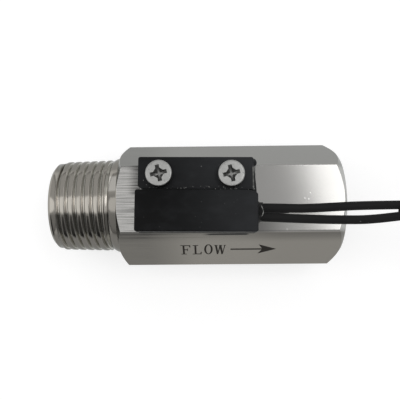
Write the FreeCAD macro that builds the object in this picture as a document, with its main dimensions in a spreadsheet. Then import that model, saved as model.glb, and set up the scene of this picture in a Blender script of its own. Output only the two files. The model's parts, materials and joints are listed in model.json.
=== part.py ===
import FreeCAD, Part
import math
import os

import Sketcher
from FreeCAD import Placement, Rotation, Vector

# Inline piston flow switch. The flow enters at the male pipe thread, lifts a sprung piston off its seat
# and leaves through the female thread. A magnet in the piston closes a reed contact in the module that
# is screwed on the top flat of the hexagon.
# Millimetres. The origin is on the flow axis in the plane of the hexagon's inlet shoulder. X runs with
# the flow and Z points up through the module. The lower flat lies on the table.

# Ends of the cable's stretches along the flow axis
WIRE_START = 27.2
SHEATH_MOUTH = 58.5
HANK_END = 139.6

SIZES = (
    # Body of hexagon bar
    ("hex_flats", 24, "across the hexagon's flats"),
    ("hex_length", 48, "hexagon from end to end"),
    ("inlet_circle", 23.86, "diameter that the inlet end's chamfer leaves on the shoulder"),
    ("inlet_slope", 30, "angle of the inlet end's chamfer to the shoulder"),
    ("outlet_circle", 22.44, "diameter that the outlet end's chamfer leaves on the end face"),
    ("outlet_slope", 25, "angle of the outlet end's chamfer to the end face"),
    ("thread_length", 15.2, "male thread from its tip to the shoulder"),
    ("thread_dia", 20.955, "male thread at its gauge plane, half-inch pipe"),
    ("thread_lead", 1.0, "chamfer at the tip of the male thread"),
    ("inlet_bore", 13, "bore through the male thread"),
    ("inlet_break", 0.6, "chamfer at the mouth of the inlet bore"),
    ("seat_start", 4, "where the conical seat leaves the inlet bore"),
    ("chamber_dia", 16, "bore in which the piston slides"),
    ("chamber_end", 29, "shoulder that carries the spring retainer"),
    ("retainer_bore", 17.6, "counterbore for the spring retainer"),
    ("clip_start", 31.5, "inlet side of the clip groove"),
    ("clip_groove", 1.1, "width of the clip groove"),
    ("clip_groove_dia", 18.6, "diameter of the clip groove"),
    ("socket_start", 33.8, "inner end of the female thread"),
    ("socket_dia", 18.631, "female thread at its crests, half-inch pipe"),
    ("socket_mouth", 21.4, "countersink at the outlet"),
    ("tap_dia", 3.04, "tapped hole for a module screw"),
    ("tap_depth", 3.8, "depth of a tapped hole"),
    # Reed module
    ("module_start", 4.8, "inlet end of the module"),
    ("module_length", 24.2, "length of the module"),
    ("block_front", -7.2, "front of the raised block"),
    ("block_width", 8.0, "raised block from front to flange"),
    ("block_height", 6.2, "raised block above the flat"),
    ("flange_width", 7.5, "screw flange behind the block"),
    ("flange_thick", 2.5, "thickness of the screw flange"),
    ("groove_depth", 0.35, "parting groove between block and flange"),
    ("groove_width", 0.5, "width of the parting groove"),
    ("flange_corner", 1.3, "rounding of the flange's outlet corner"),
    ("block_corner", 0.3, "rounding of the other upright corners"),
    ("block_edge", 0.3, "rounding of the block's top edges"),
    ("block_wall", 0.9, "wall round the resin cavity"),
    ("screw_first", 9.25, "inlet screw"),
    ("screw_pitch", 14.65, "from one screw to the other"),
    ("screw_side", 4.6, "screws behind the flow axis"),
    ("screw_hole", 3.4, "clearance hole in the flange"),
    ("screw_dia", 3.0, "screw shank"),
    ("screw_length", 6, "screw shank under the head"),
    ("head_dia", 5.4, "pan head"),
    ("head_height", 2.0, "pan head"),
    ("head_round", 0.5, "rounding of the pan head's rim"),
    # Reed contact
    ("reed_middle", 16.75, "middle of the reed contact along the flow"),
    ("reed_side", -4.81, "reed contact in front of the flow axis"),
    ("reed_level", 15.1, "reed contact and wires above the flow axis"),
    ("glass_length", 13.6, "glass capsule"),
    ("glass_dia", 2.2, "glass capsule"),
    ("glass_seal", 1.7, "solid glass at either end"),
    ("glass_wall", 0.3, "wall of the capsule"),
    ("lead_dia", 0.5, "reed leads"),
    ("blade_thick", 0.2, "flat part of a reed blade"),
    ("blade_width", 1.0, "flat part of a reed blade"),
    ("blade_lap", 0.9, "how far the blades lap over each other"),
    ("blade_gap", 0.12, "open contact gap"),
    ("lead_out", 2.6, "lead past the end of the glass"),
    # Piston, spring and retainer
    ("seat_gap", 0.14, "axial play between piston and seat"),
    ("nose_dia", 8.8, "flat front of the conical nose"),
    ("rim_dia", 14.4, "piston head"),
    ("rim_back", 6.6, "back of the piston head"),
    ("core_dia", 10.6, "piston sleeve outside"),
    ("pocket_dia", 9.0, "piston sleeve inside"),
    ("pocket_start", 6.9, "bottom of the magnet pocket"),
    ("piston_tail", 19.5, "rear end of the sleeve"),
    ("fin_reach", 7.85, "guide fins from the axis"),
    ("fin_width", 1.8, "guide fins"),
    ("fin_count", 4, "guide fins"),
    ("magnet_dia", 8.9, "magnet"),
    ("magnet_length", 6, "magnet"),
    ("cap_thick", 1.5, "magnet cap"),
    ("cap_vent", 2.0, "hole in the magnet cap"),
    ("spring_wire", 0.5, "spring wire"),
    ("spring_mean", 7.5, "spring at the middle of its wire"),
    ("spring_turns", 6, "open turns of the spring"),
    ("spring_closed", 1.05, "rise of a closed end turn, in wire diameters"),
    ("hub_start", 26.6, "hub lip that stops the piston"),
    ("hub_floor", 28.2, "seat of the spring in the hub"),
    ("hub_dia", 10.6, "hub outside"),
    ("hub_cup", 8.8, "hub inside"),
    ("hub_drain", 3.2, "hole through the hub"),
    ("retainer_dia", 17.5, "retainer rim outside"),
    ("retainer_window", 15.2, "retainer rim inside"),
    ("spoke_width", 1.8, "retainer spokes"),
    ("clip_thick", 1.0, "retaining ring"),
    ("clip_dia", 18.5, "retaining ring outside"),
    ("clip_inner", 15.9, "retaining ring inside"),
    ("clip_gap", 5.2, "opening of the retaining ring"),
    ("lug_dia", 2.2, "eye of the retaining ring"),
    ("lug_hole", 1.1, "hole in the eye"),
    ("lug_circle", 14.9, "circle through the eyes"),
    # Wires and cable
    ("wire_dia", 1.65, "insulated single wire"),
    ("conductor_dia", 0.76, "stranded conductor"),
    ("wire_middle", -3.26, "middle of the pair where it leaves the housing"),
    ("wire_pitch", 1.72, "from one wire to the other where they leave the housing"),
    ("strip_length", 2.2, "stripped end of a wire"),
    ("joint_gap", 0.06, "solder between a lead and a conductor"),
    ("joint_dia", 1.7, "soldered joint"),
    ("collar_length", 1.15, "resin collar round the wires"),
    ("collar_width", 5.0, "resin collar at the housing"),
    ("collar_height", 3.6, "resin collar at the housing"),
    ("collar_tip_width", 3.7, "resin collar at its tip"),
    ("collar_tip_height", 2.1, "resin collar at its tip"),
    ("sheath_dia", 4.4, "sheath of the two-core cable"),
    ("fold_radius", 13.2, "end loops of the hank"),
    ("fold_first", 112, "middle of the loop next to the body"),
    ("hank_run", 34.7, "straight part of the hank"),
    ("hank_front", -13.2, "front runs of the hank"),
    ("hank_layers", 3, "turns that lie on each other"),
    ("hank_end", HANK_END, "where the sheath ends in the lowest layer"),
    ("tie_place", 133.1, "tie along the flow axis"),
    ("tie_width", 4, "tie"),
    ("tie_thick", 0.6, "tie"),
    ("tinned_length", 6, "tinned far end of a wire"),
)

# Routes of the free wires and the cable, from the housing outwards, as corner points. The wires end at
# the mouth of the sheath and the tails start where the sheath ends. The cable comes down beside the
# outlet, so that a fitting can be screwed in.
WIRE_REAR = [
    (WIRE_START, -2.40, 15.1), (33.0, -2.40, 15.1), (41.3, -2.30, 15.0),
    (50.0, -2.27, 14.9), (SHEATH_MOUTH, -2.03, 14.7),
]
WIRE_FRONT = [
    (WIRE_START, -4.12, 15.1), (31.5, -4.12, 15.1), (38.5, -4.78, 15.0),
    (46.5, -4.98, 14.9), (53.0, -4.75, 14.8), (SHEATH_MOUTH, -4.19, 14.7),
]
CABLE_RUN = [
    (SHEATH_MOUTH, -3.11, 14.7), (68.6, -3.9, 14.0), (79.0, -8.0, 10.9), (89.6, -12.2, 6.0),
    (100.4, -14.0, 2.2), (111.4, -13.7, 0.3), (122.5, -13.2, -0.4),
]
TAIL_FRONT = [
    (HANK_END, 12.37, -9.2), (133.1, 12.1, -9.6), (125.6, 9.4, -10.8),
    (117.6, 5.8, -11.17), (109.6, 3.6, -11.17),
]
TAIL_REAR = [
    (HANK_END, 14.03, -9.2), (133.1, 14.0, -9.6), (125.6, 12.2, -10.8),
    (117.6, 9.1, -11.17), (109.6, 7.0, -11.17),
]
ARC_SHARE = 0.45
VOLUME_SLACK = 0.01

DOC = FreeCAD.newDocument("flow_switch")
NODES = []


def make_sheet():
    sheet = DOC.addObject("Spreadsheet::Sheet", "dim")
    for row, (alias, number, meaning) in enumerate(SIZES, start=1):
        sheet.set(f"A{row}", meaning)
        sheet.set(f"B{row}", str(number))
        sheet.setAlias(f"B{row}", alias)
    DOC.recompute()
    return sheet


SHEET = make_sheet()


def size(text):
    """The number that an expression on the sheet comes to."""
    return float(SHEET.evalExpression(str(text)))


def node(thing, label):
    """Marks an object of the document as a piece that is written to a file of that name."""
    thing.Label = label
    NODES.append(thing)
    return thing


def add(kind, name, **bound):
    """An object whose properties follow expressions on the sheet."""
    thing = DOC.addObject(kind, name)
    for prop, text in bound.items():
        thing.setExpression(prop, str(text))
    return thing


def place(thing, x=0, y=0, z=0, turn=None):
    """Puts an object at a place given by expressions, with an optional turn of its own."""
    thing.Placement = Placement(Vector(), turn or Rotation())
    for axis, text in zip("xyz", (x, y, z)):
        thing.setExpression(f"Placement.Base.{axis}", str(text))
    return thing


ALONG_FLOW = Rotation(Vector(0, 1, 0), 90)


def rod(name, diameter, length, x, y=0, z=0, turn=ALONG_FLOW):
    """A round rod, along the flow unless turned."""
    thing = add("Part::Cylinder", name, Radius=f"({diameter}) / 2", Height=length)
    return place(thing, x, y, z, turn)


def cut(name, base, tool):
    thing = DOC.addObject("Part::Cut", name)
    thing.Base, thing.Tool = base, tool
    return thing


def fuse(name, *shapes):
    thing = DOC.addObject("Part::MultiFuse", name)
    thing.Shapes = list(shapes)
    return thing


def compound(name, *shapes):
    thing = DOC.addObject("Part::Compound", name)
    thing.Links = list(shapes)
    return thing


def new_body(name):
    return DOC.addObject("PartDesign::Body", name)


def sketch_on(body, role, offset="0"):
    """An empty sketch on one of the body's own planes, moved along that plane's normal."""
    sketch = body.newObject("Sketcher::SketchObject", f"{body.Name}_sketch")
    support = next(f for f in body.Origin.OriginFeatures if f.Role == role)
    sketch.AttachmentSupport = [(support, "")]
    sketch.MapMode = "FlatFace"
    sketch.setExpression("AttachmentOffset.Base.z", str(offset))
    return sketch


def bind(sketch, constraint, text):
    number = sketch.addConstraint(constraint)
    sketch.setExpression(f"Constraints[{number}]", str(text))


def polygon(sketch, corners):
    """A closed outline of straight lines, each corner a pair of expressions."""
    spots = [Vector(size(x), size(y), 0) for x, y in corners]
    ends = spots[1:] + spots[:1]
    lines = [sketch.addGeometry(Part.LineSegment(a, b)) for a, b in zip(spots, ends)]
    for line, following in zip(lines, lines[1:] + lines[:1]):
        sketch.addConstraint(Sketcher.Constraint("Coincident", line, 2, following, 1))
    for line, (x, y) in zip(lines, corners):
        bind(sketch, Sketcher.Constraint("DistanceX", -1, 1, line, 1, size(x)), x)
        bind(sketch, Sketcher.Constraint("DistanceY", -1, 1, line, 1, size(y)), y)
    return sketch


def rectangle(sketch, low_x, high_x, low_y, high_y):
    return polygon(sketch, [(low_x, low_y), (high_x, low_y), (high_x, high_y), (low_x, high_y)])


def circle(sketch, x, y, diameter):
    radius = f"({diameter}) / 2"
    ring = sketch.addGeometry(Part.Circle(Vector(size(x), size(y), 0), Vector(0, 0, 1), size(radius)))
    bind(sketch, Sketcher.Constraint("DistanceX", -1, 1, ring, 3, size(x)), x)
    bind(sketch, Sketcher.Constraint("DistanceY", -1, 1, ring, 3, size(y)), y)
    bind(sketch, Sketcher.Constraint("Radius", ring, size(radius)), radius)
    return sketch


def octagon(sketch, x, y, width):
    """A regular outline with eight sides, as wide across its corners as a circle of that diameter."""
    spots = [(f"cos({45 * i + 22.5} deg)", f"sin({45 * i + 22.5} deg)") for i in range(8)]
    radius = f"({width}) / 2"
    return polygon(sketch, [(f"{x} + {radius} * {c}", f"{y} + {radius} * {s}") for c, s in spots])


def volume(body):
    return 0.0 if body.Shape.isNull() else body.Shape.Volume


def extrude(body, kind, sketch, length):
    """A pad or a pocket of a given length. A pocket has to take something away."""
    before = volume(body)
    feature = body.newObject(f"PartDesign::{kind}", f"{body.Name}_{kind}")
    feature.Profile = sketch
    feature.setExpression("Length", str(length))
    DOC.recompute()
    check_change(feature, before, volume(body), kind == "Pocket")
    return feature


def turn(body, kind, sketch):
    """A full revolution or groove about the sketch's horizontal axis, which is the flow axis."""
    before = volume(body)
    feature = body.newObject(f"PartDesign::{kind}", f"{body.Name}_{kind}")
    feature.Profile = sketch
    feature.ReferenceAxis = (sketch, ["H_Axis"])
    feature.Angle = 360
    DOC.recompute()
    check_change(feature, before, volume(body), kind == "Groove")
    return feature


def check_change(feature, before, after, removes):
    if (after < before) != removes or after == before:
        raise RuntimeError(f"{feature.Name} changed the volume from {before:.3f} to {after:.3f}")


def round_edges(body, radius, wanted):
    """Fillets the edges of a body that a test on the edge picks out."""
    names = [f"Edge{i}" for i, edge in enumerate(body.Tip.Shape.Edges, start=1) if wanted(edge)]
    base = body.Tip
    feature = body.newObject("PartDesign::Fillet", f"{body.Name}_Fillet")
    feature.Base = (base, names)
    feature.setExpression("Radius", str(radius))
    DOC.recompute()
    return feature


def upright(edge):
    a, b = (v.Point for v in edge.Vertexes[:2]) if len(edge.Vertexes) == 2 else (Vector(), Vector())
    return abs(a.z - b.z) > 1 and math.hypot(a.x - b.x, a.y - b.y) < 1e-6


def make_hex_body():
    """Hexagon bar with a male end, one stepped bore right through, and two tapped holes on its top flat."""
    body = new_body("hex_body")
    side, flat = "dim.hex_flats / 2", "dim.hex_flats / sqrt(3)"
    corners = [
        (flat, "0"), (f"{flat} / 2", side), (f"-{flat} / 2", side),
        (f"-{flat}", "0"), (f"-{flat} / 2", f"-{side}"), (f"{flat} / 2", f"-{side}"),
    ]
    extrude(body, "Pad", polygon(sketch_on(body, "YZ_Plane"), corners), "dim.hex_length")

    reach = "dim.hex_flats"
    for end, start, side_of in (("inlet", "0", "+"), ("outlet", "dim.hex_length", "-")):
        ring = f"dim.{end}_circle / 2"
        inward = f"{start} {side_of} ({reach} - {ring}) * tan(dim.{end}_slope * 1 deg)"
        chamfer = [(start, ring), (start, reach), (inward, reach)]
        turn(body, "Groove", polygon(sketch_on(body, "XZ_Plane"), chamfer))

    radius, tip = "dim.thread_dia / 2", "-dim.thread_length"
    male = [
        (tip, "0"), (tip, f"{radius} - dim.thread_lead"), (f"{tip} + dim.thread_lead", radius),
        ("0", radius), ("0", "0"),
    ]
    turn(body, "Revolution", polygon(sketch_on(body, "XZ_Plane"), male))

    inlet, chamber = "dim.inlet_bore / 2", "dim.chamber_dia / 2"
    counterbore, groove = "dim.retainer_bore / 2", "dim.clip_groove_dia / 2"
    socket, mouth = "dim.socket_dia / 2", "dim.socket_mouth / 2"
    groove_end = "dim.clip_start + dim.clip_groove"
    bore = [
        (tip, "0"), (tip, f"{inlet} + dim.inlet_break"), (f"{tip} + dim.inlet_break", inlet),
        ("dim.seat_start", inlet), (f"dim.seat_start + {chamber} - {inlet}", chamber),
        ("dim.chamber_end", chamber), ("dim.chamber_end", counterbore),
        ("dim.clip_start", counterbore), ("dim.clip_start", groove), (groove_end, groove),
        (groove_end, counterbore), ("dim.socket_start", counterbore), ("dim.socket_start", socket),
        (f"dim.hex_length - {mouth} + {socket}", socket), ("dim.hex_length", mouth),
        ("dim.hex_length", "0"),
    ]
    turn(body, "Groove", polygon(sketch_on(body, "XZ_Plane"), bore))

    holes = sketch_on(body, "XY_Plane", side)
    for x in ("dim.screw_first", "dim.screw_first + dim.screw_pitch"):
        circle(holes, x, "dim.screw_side", "dim.tap_dia")
    extrude(body, "Pocket", holes, "dim.tap_depth")
    return node(body, "hex_body")


def make_piston():
    """Poppet with a conical nose, a sleeve for the magnet and the spring, and guide fins round it."""
    body = new_body("piston")
    nose, rim, core = "dim.nose_dia / 2", "dim.rim_dia / 2", "dim.core_dia / 2"
    # The nose lies parallel to the seat, which it nears to the play given for it.
    cone_zero = "dim.seat_start + dim.seat_gap - dim.inlet_bore / 2"
    outline = [
        (f"{cone_zero} + {nose}", "0"), (f"{cone_zero} + {nose}", nose), (f"{cone_zero} + {rim}", rim),
        ("dim.rim_back", rim), ("dim.rim_back", core), ("dim.piston_tail", core),
        ("dim.piston_tail", "dim.pocket_dia / 2"), ("dim.pocket_start", "dim.pocket_dia / 2"),
        ("dim.pocket_start", "0"),
    ]
    turn(body, "Revolution", polygon(sketch_on(body, "XZ_Plane"), outline))

    fin = rectangle(
        sketch_on(body, "YZ_Plane", "dim.rim_back"),
        "-dim.fin_width / 2", "dim.fin_width / 2", "(dim.core_dia + dim.pocket_dia) / 4", "dim.fin_reach",
    )
    pad = extrude(body, "Pad", fin, "dim.piston_tail - dim.rim_back")
    pattern = body.newObject("PartDesign::PolarPattern", "piston_fins")
    pattern.Originals = [pad]
    pattern.Axis = (fin, ["N_Axis"])
    pattern.Angle = 360
    pattern.setExpression("Occurrences", "dim.fin_count")
    body.Tip = pattern
    DOC.recompute()
    return node(body, "piston")


def make_magnet_and_cap():
    magnet = rod("piston_magnet", "dim.magnet_dia", "dim.magnet_length", "dim.pocket_start")
    node(magnet, "piston_magnet")
    cap_start = "dim.pocket_start + dim.magnet_length"
    disc = rod("cap_disc", "dim.pocket_dia", "dim.cap_thick", cap_start)
    vent = rod("cap_vent_hole", "dim.cap_vent", "dim.cap_thick", cap_start)
    node(cut("magnet_cap", disc, vent), "magnet_cap")


def make_spring():
    """Compression spring from the magnet cap to the hub, with a closed turn at either end. Its wire has
    eight sides, which keeps the faces of so fine a coil few."""
    body = new_body("return_spring")
    closed = "dim.spring_wire * dim.spring_closed"
    first = "dim.pocket_start + dim.magnet_length + dim.cap_thick + dim.spring_wire / 2"
    last = "dim.hub_floor - dim.spring_wire / 2"
    stretches = (
        (first, closed, "1"),
        (f"{first} + {closed}", f"{last} - ({first}) - 2 * {closed}", "dim.spring_turns"),
        (f"{last} - {closed}", closed, "1"),
    )
    for start, height, turns in stretches:
        coil = octagon(sketch_on(body, "XZ_Plane"), start, "dim.spring_mean / 2", "dim.spring_wire")
        helix = body.newObject("PartDesign::AdditiveHelix", "spring_coil")
        helix.Profile = coil
        helix.ReferenceAxis = (coil, ["H_Axis"])
        helix.Mode = "height-turns-angle"
        helix.setExpression("Height", height)
        helix.setExpression("Turns", turns)
        DOC.recompute()
    return node(body, "return_spring")


def make_retainer():
    """Spider with a cross of spokes, a cupped hub for the spring and a rim that sits in the body."""
    body = new_body("spring_retainer")
    arm, half = "(dim.retainer_dia + dim.retainer_window) / 4", "dim.spoke_width / 2"
    cross = [
        (arm, half), (half, half), (half, arm), (f"-{half}", arm), (f"-{half}", half), (f"-{arm}", half),
        (f"-{arm}", f"-{half}"), (f"-{half}", f"-{half}"), (f"-{half}", f"-{arm}"),
        (half, f"-{arm}"), (half, f"-{half}"), (arm, f"-{half}"),
    ]
    thick = "dim.clip_start - dim.chamber_end"
    extrude(body, "Pad", polygon(sketch_on(body, "YZ_Plane", "dim.chamber_end"), cross), thick)
    rings = (
        ("dim.chamber_end", "dim.retainer_window / 2", "dim.retainer_dia / 2"),
        ("dim.hub_floor", "dim.hub_drain / 2", "dim.hub_dia / 2"),
        ("dim.hub_start", "dim.hub_cup / 2", "dim.hub_dia / 2"),
    )
    for start, inner, outer in rings:
        ring = rectangle(sketch_on(body, "XZ_Plane"), start, "dim.clip_start", inner, outer)
        turn(body, "Revolution", ring)
    through = sketch_on(body, "XZ_Plane")
    turn(body, "Groove", rectangle(through, "dim.hub_start", "dim.clip_start", "0", "dim.hub_drain / 2"))
    return node(body, "spring_retainer")


def make_retaining_ring():
    """Internal circlip, open at the bottom, with an eye at either end."""
    start = "dim.clip_start + (dim.clip_groove - dim.clip_thick) / 2"
    ring = cut(
        "clip_ring",
        rod("clip_outside", "dim.clip_dia", "dim.clip_thick", start),
        rod("clip_inside", "dim.clip_inner", "dim.clip_thick", start),
    )
    gap = add(
        "Part::Box", "clip_opening",
        Length="dim.clip_thick", Width="dim.clip_gap", Height="dim.clip_dia",
    )
    place(gap, start, "-dim.clip_gap / 2", "-dim.clip_dia")
    arms = cut("clip_arms", ring, gap)
    eyes, holes = [], []
    for name, side in (("left", ""), ("right", "-")):
        y = f"{side}(dim.clip_gap + dim.lug_dia) / 2"
        z = f"-sqrt((dim.lug_circle / 2) ^ 2 - ({y}) ^ 2)"
        eyes.append(rod(f"clip_eye_{name}", "dim.lug_dia", "dim.clip_thick", start, y, z))
        holes.append(rod(f"clip_hole_{name}", "dim.lug_hole", "dim.clip_thick", start, y, z))
    whole = fuse("clip_with_eyes", arms, *eyes)
    return node(cut("retaining_ring", whole, compound("clip_holes", *holes)), "retaining_ring")


def make_reed_housing():
    """Moulded housing: a raised block with a resin cavity that opens at the wires, and a screw flange."""
    body = new_body("reed_housing")
    flat, start = "dim.hex_flats / 2", "dim.module_start"
    end, back = "dim.module_start + dim.module_length", "dim.block_front + dim.block_width"
    block = rectangle(sketch_on(body, "XY_Plane", flat), start, end, "dim.block_front", back)
    extrude(body, "Pad", block, "dim.block_height")
    flange = rectangle(sketch_on(body, "XY_Plane", flat), start, end, back, f"{back} + dim.flange_width")
    extrude(body, "Pad", flange, "dim.flange_thick")

    flange_top = f"{flat} + dim.flange_thick"
    parting = sketch_on(body, "XY_Plane", flange_top)
    rectangle(parting, start, end, back, f"{back} + dim.groove_width")
    extrude(body, "Pocket", parting, "dim.groove_depth")
    holes = sketch_on(body, "XY_Plane", flange_top)
    for x in ("dim.screw_first", "dim.screw_first + dim.screw_pitch"):
        circle(holes, x, "dim.screw_side", "dim.screw_hole")
    extrude(body, "Pocket", holes, "dim.flange_thick")
    cavity = rectangle(
        sketch_on(body, "YZ_Plane", end),
        "dim.block_front + dim.block_wall", f"{back} - dim.block_wall",
        f"{flat} + dim.block_wall", f"{flat} + dim.block_height - dim.block_wall",
    )
    extrude(body, "Pocket", cavity, "dim.module_length - dim.block_wall")

    rear_edge = size(f"{back} + dim.flange_width")
    outlet_edge, inlet_edge = size(end), size(start)
    front_edge, top = size("dim.block_front"), size(f"{flat} + dim.block_height")

    def at(edge, x=None, y=None):
        spot = edge.CenterOfMass
        return (x is None or abs(spot.x - x) < 1e-6) and (y is None or abs(spot.y - y) < 1e-6)

    round_edges(body, "dim.flange_corner", lambda e: upright(e) and at(e, outlet_edge, rear_edge))
    round_edges(body, "dim.block_corner", lambda e: upright(e) and at(e, inlet_edge, rear_edge))
    round_edges(
        body, "dim.block_corner",
        lambda e: upright(e) and at(e, y=front_edge) and (at(e, inlet_edge) or at(e, outlet_edge)),
    )
    round_edges(body, "dim.block_edge", lambda e: abs(e.CenterOfMass.z - top) < 1e-6)
    return node(body, "reed_housing")


def make_module_screws():
    """Pan-head screws, each turned about its own axis."""
    screws = []
    under = "dim.hex_flats / 2 + dim.flange_thick"
    for name, x in (("inlet", "dim.screw_first"), ("outlet", "dim.screw_first + dim.screw_pitch")):
        shank = rod(
            f"screw_shank_{name}", "dim.screw_dia", "dim.screw_length", x, "dim.screw_side",
            f"{under} - dim.screw_length", Rotation(),
        )
        head = rod(
            f"screw_head_{name}", "dim.head_dia", "dim.head_height", x, "dim.screw_side", under, Rotation()
        )
        screw = fuse(f"screw_{name}", shank, head)
        DOC.recompute()
        rim_level = size(f"{under} + dim.head_height")
        edges = enumerate(screw.Shape.Edges, start=1)
        rim = next(number for number, edge in edges if abs(edge.CenterOfMass.z - rim_level) < 1e-6)
        rounded = DOC.addObject("Part::Fillet", f"screw_rounded_{name}")
        rounded.Base = screw
        rounded.Edges = [(rim, size("dim.head_round"), size("dim.head_round"))]
        screws.append(rounded)
    return node(compound("module_screws", *screws), "module_screws")


def make_reed_glass():
    """Sealed capsule, solid round the leads at both ends and hollow between them."""
    body = new_body("reed_glass")
    body.Placement = Placement(Vector(), Rotation())
    body.setExpression("Placement.Base.x", "dim.reed_middle")
    body.setExpression("Placement.Base.y", "dim.reed_side")
    body.setExpression("Placement.Base.z", "dim.reed_level")
    end, outer, lead = "dim.glass_length / 2", "dim.glass_dia / 2", "dim.lead_dia / 2"
    shoulder = f"{end} - dim.glass_seal / 2"
    skin = [
        (f"-({end})", lead), (f"-({end})", "dim.lead_dia"), (f"-({shoulder})", outer),
        (shoulder, outer), (end, "dim.lead_dia"), (end, lead),
    ]
    turn(body, "Revolution", polygon(sketch_on(body, "XZ_Plane"), skin))
    hollow, bore = f"{end} - dim.glass_seal", f"{outer} - dim.glass_wall"
    room = rectangle(sketch_on(body, "XZ_Plane"), f"-({hollow})", hollow, "0", bore)
    turn(body, "Groove", room)
    return node(body, "reed_glass")


def make_reed_blades():
    """Two blades that lap over each other with an open gap; the inlet one is bent across to the rear wire."""
    middle, side, level = "dim.reed_middle", "dim.reed_side", "dim.reed_level"
    flat_end = "dim.glass_length / 2 - dim.glass_seal"
    lead = "dim.glass_seal + dim.lead_out"
    for name, low in (("outlet", "dim.blade_gap / 2"), ("inlet", "-dim.blade_gap / 2 - dim.blade_thick")):
        blade = add(
            "Part::Box", f"blade_flat_{name}",
            Length=f"{flat_end} + dim.blade_lap / 2", Width="dim.blade_width", Height="dim.blade_thick",
        )
        near = f"{middle} - dim.blade_lap / 2" if name == "outlet" else f"{middle} - ({flat_end})"
        place(blade, near, f"{side} - dim.blade_width / 2", f"{level} + {low}")
        start = f"{middle} + {flat_end}" if name == "outlet" else f"{middle} - ({flat_end}) - ({lead})"
        stem = rod(f"blade_lead_{name}", "dim.lead_dia", lead, start, side, level)
        pieces = [blade, stem]
        if name == "inlet":
            clear = "dim.conductor_dia / 2 + dim.joint_gap"
            reach = f"dim.wire_middle + dim.wire_pitch / 2 - ({clear}) - dim.reed_side"
            across = rod(
                "blade_lead_across", "dim.lead_dia", reach, start, side, level, Rotation(Vector(1, 0, 0), -90)
            )
            corner = add("Part::Sphere", "blade_lead_corner", Radius="dim.lead_dia / 2")
            pieces += [across, place(corner, start, side, level)]
        node(fuse(f"reed_blade_{name}", *pieces), f"reed_blade_{name}")


def wire_side(name):
    return f"dim.wire_middle {'+' if name == 'rear' else '-'} dim.wire_pitch / 2"


def make_inner_wires():
    """Wire ends inside the resin: the rear one reaches the inlet lead, the front one the outlet lead."""
    lead_end = "dim.glass_length / 2 + dim.lead_out"
    starts = {
        "rear": f"dim.reed_middle - ({lead_end}) - dim.lead_dia / 2",
        "front": f"dim.reed_middle + {lead_end} - dim.strip_length + dim.lead_dia / 2",
    }
    bare, skins, joints = [], [], []
    for name, start in starts.items():
        y, z = wire_side(name), "dim.reed_level"
        bare.append(rod(f"conductor_{name}", "dim.conductor_dia", "dim.strip_length", start, y, z))
        skin_start = f"{start} + dim.strip_length"
        skins.append(
            rod(f"skin_{name}", "dim.wire_dia", f"{WIRE_START} - ({skin_start})", skin_start, y, z)
        )
        joint_y = y if name == "rear" else f"({y} + dim.reed_side) / 2"
        joints.append(
            rod(
                f"solder_{name}", "dim.joint_dia", "dim.strip_length * 0.9",
                f"{start} - dim.conductor_dia / 4", joint_y, z,
            )
        )
    node(compound("conductor_ends", *bare), "conductor_ends")
    node(compound("inner_wires", *skins), "inner_wires")
    return joints


def make_solder_joints(joints):
    """Solder round each pair of a lead and a conductor, without the room that those take."""
    soldered = ("reed_blade_inlet", "reed_blade_outlet", "conductor_ends")
    inside = compound("soldered_leads", *(thing for thing in NODES if thing.Label in soldered))
    trimmed = [cut(f"{joint.Name}_joint", joint, inside) for joint in joints]
    return node(compound("solder_joints", *trimmed), "solder_joints")


def make_potting(embedded):
    """Resin that fills the cavity round everything in it and ends in a flared collar round the wires."""
    body = new_body("resin")
    flat, end = "dim.hex_flats / 2", "dim.module_start + dim.module_length"
    back = "dim.block_front + dim.block_width"
    fill = rectangle(
        sketch_on(body, "YZ_Plane", "dim.module_start + dim.block_wall"),
        "dim.block_front + dim.block_wall", f"{back} - dim.block_wall",
        f"{flat} + dim.block_wall", f"{flat} + dim.block_height - dim.block_wall",
    )
    extrude(body, "Pad", fill, "dim.module_length - dim.block_wall")
    sections = []
    for place_x, width, height in (
        (end, "dim.collar_width", "dim.collar_height"),
        (f"{end} + dim.collar_length", "dim.collar_tip_width", "dim.collar_tip_height"),
    ):
        sections.append(rectangle(
            sketch_on(body, "YZ_Plane", place_x),
            f"dim.wire_middle - {width} / 2", f"dim.wire_middle + {width} / 2",
            f"dim.reed_level - {height} / 2", f"dim.reed_level + {height} / 2",
        ))
    collar = body.newObject("PartDesign::AdditiveLoft", "resin_collar")
    collar.Profile = sections[0]
    collar.Sections = sections[1:]
    DOC.recompute()
    glass_room = rod(
        "glass_room", "dim.glass_dia - dim.glass_wall", "dim.glass_length - dim.glass_seal",
        "dim.reed_middle - (dim.glass_length - dim.glass_seal) / 2", "dim.reed_side", "dim.reed_level",
    )
    return node(cut("potting", body, compound("embedded_pieces", *embedded, glass_room)), "potting")


def rounded_path(points):
    """Straight runs joined by tangent arcs, each as large as its two runs allow. Gives edges and radii."""
    spots = [Vector(*p) for p in points]
    edges, radii, start = [], [], spots[0]
    for before, corner, after in zip(spots, spots[1:], spots[2:]):
        back, ahead = before - corner, after - corner
        half_turn = (math.pi - back.getAngle(ahead)) / 2
        trim = ARC_SHARE * min(back.Length, ahead.Length)
        radius = trim / math.tan(half_turn)
        entry = corner + back.normalize() * trim
        leave = corner + ahead.normalize() * trim
        inward = (back + ahead).normalize()
        top = corner + inward * (radius / math.cos(half_turn) - radius)
        edges += [Part.LineSegment(start, entry).toShape(), Part.Arc(entry, top, leave).toShape()]
        radii.append(round(radius, 1))
        start = leave
    edges.append(Part.LineSegment(start, spots[-1]).toShape())
    return edges, radii


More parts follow.
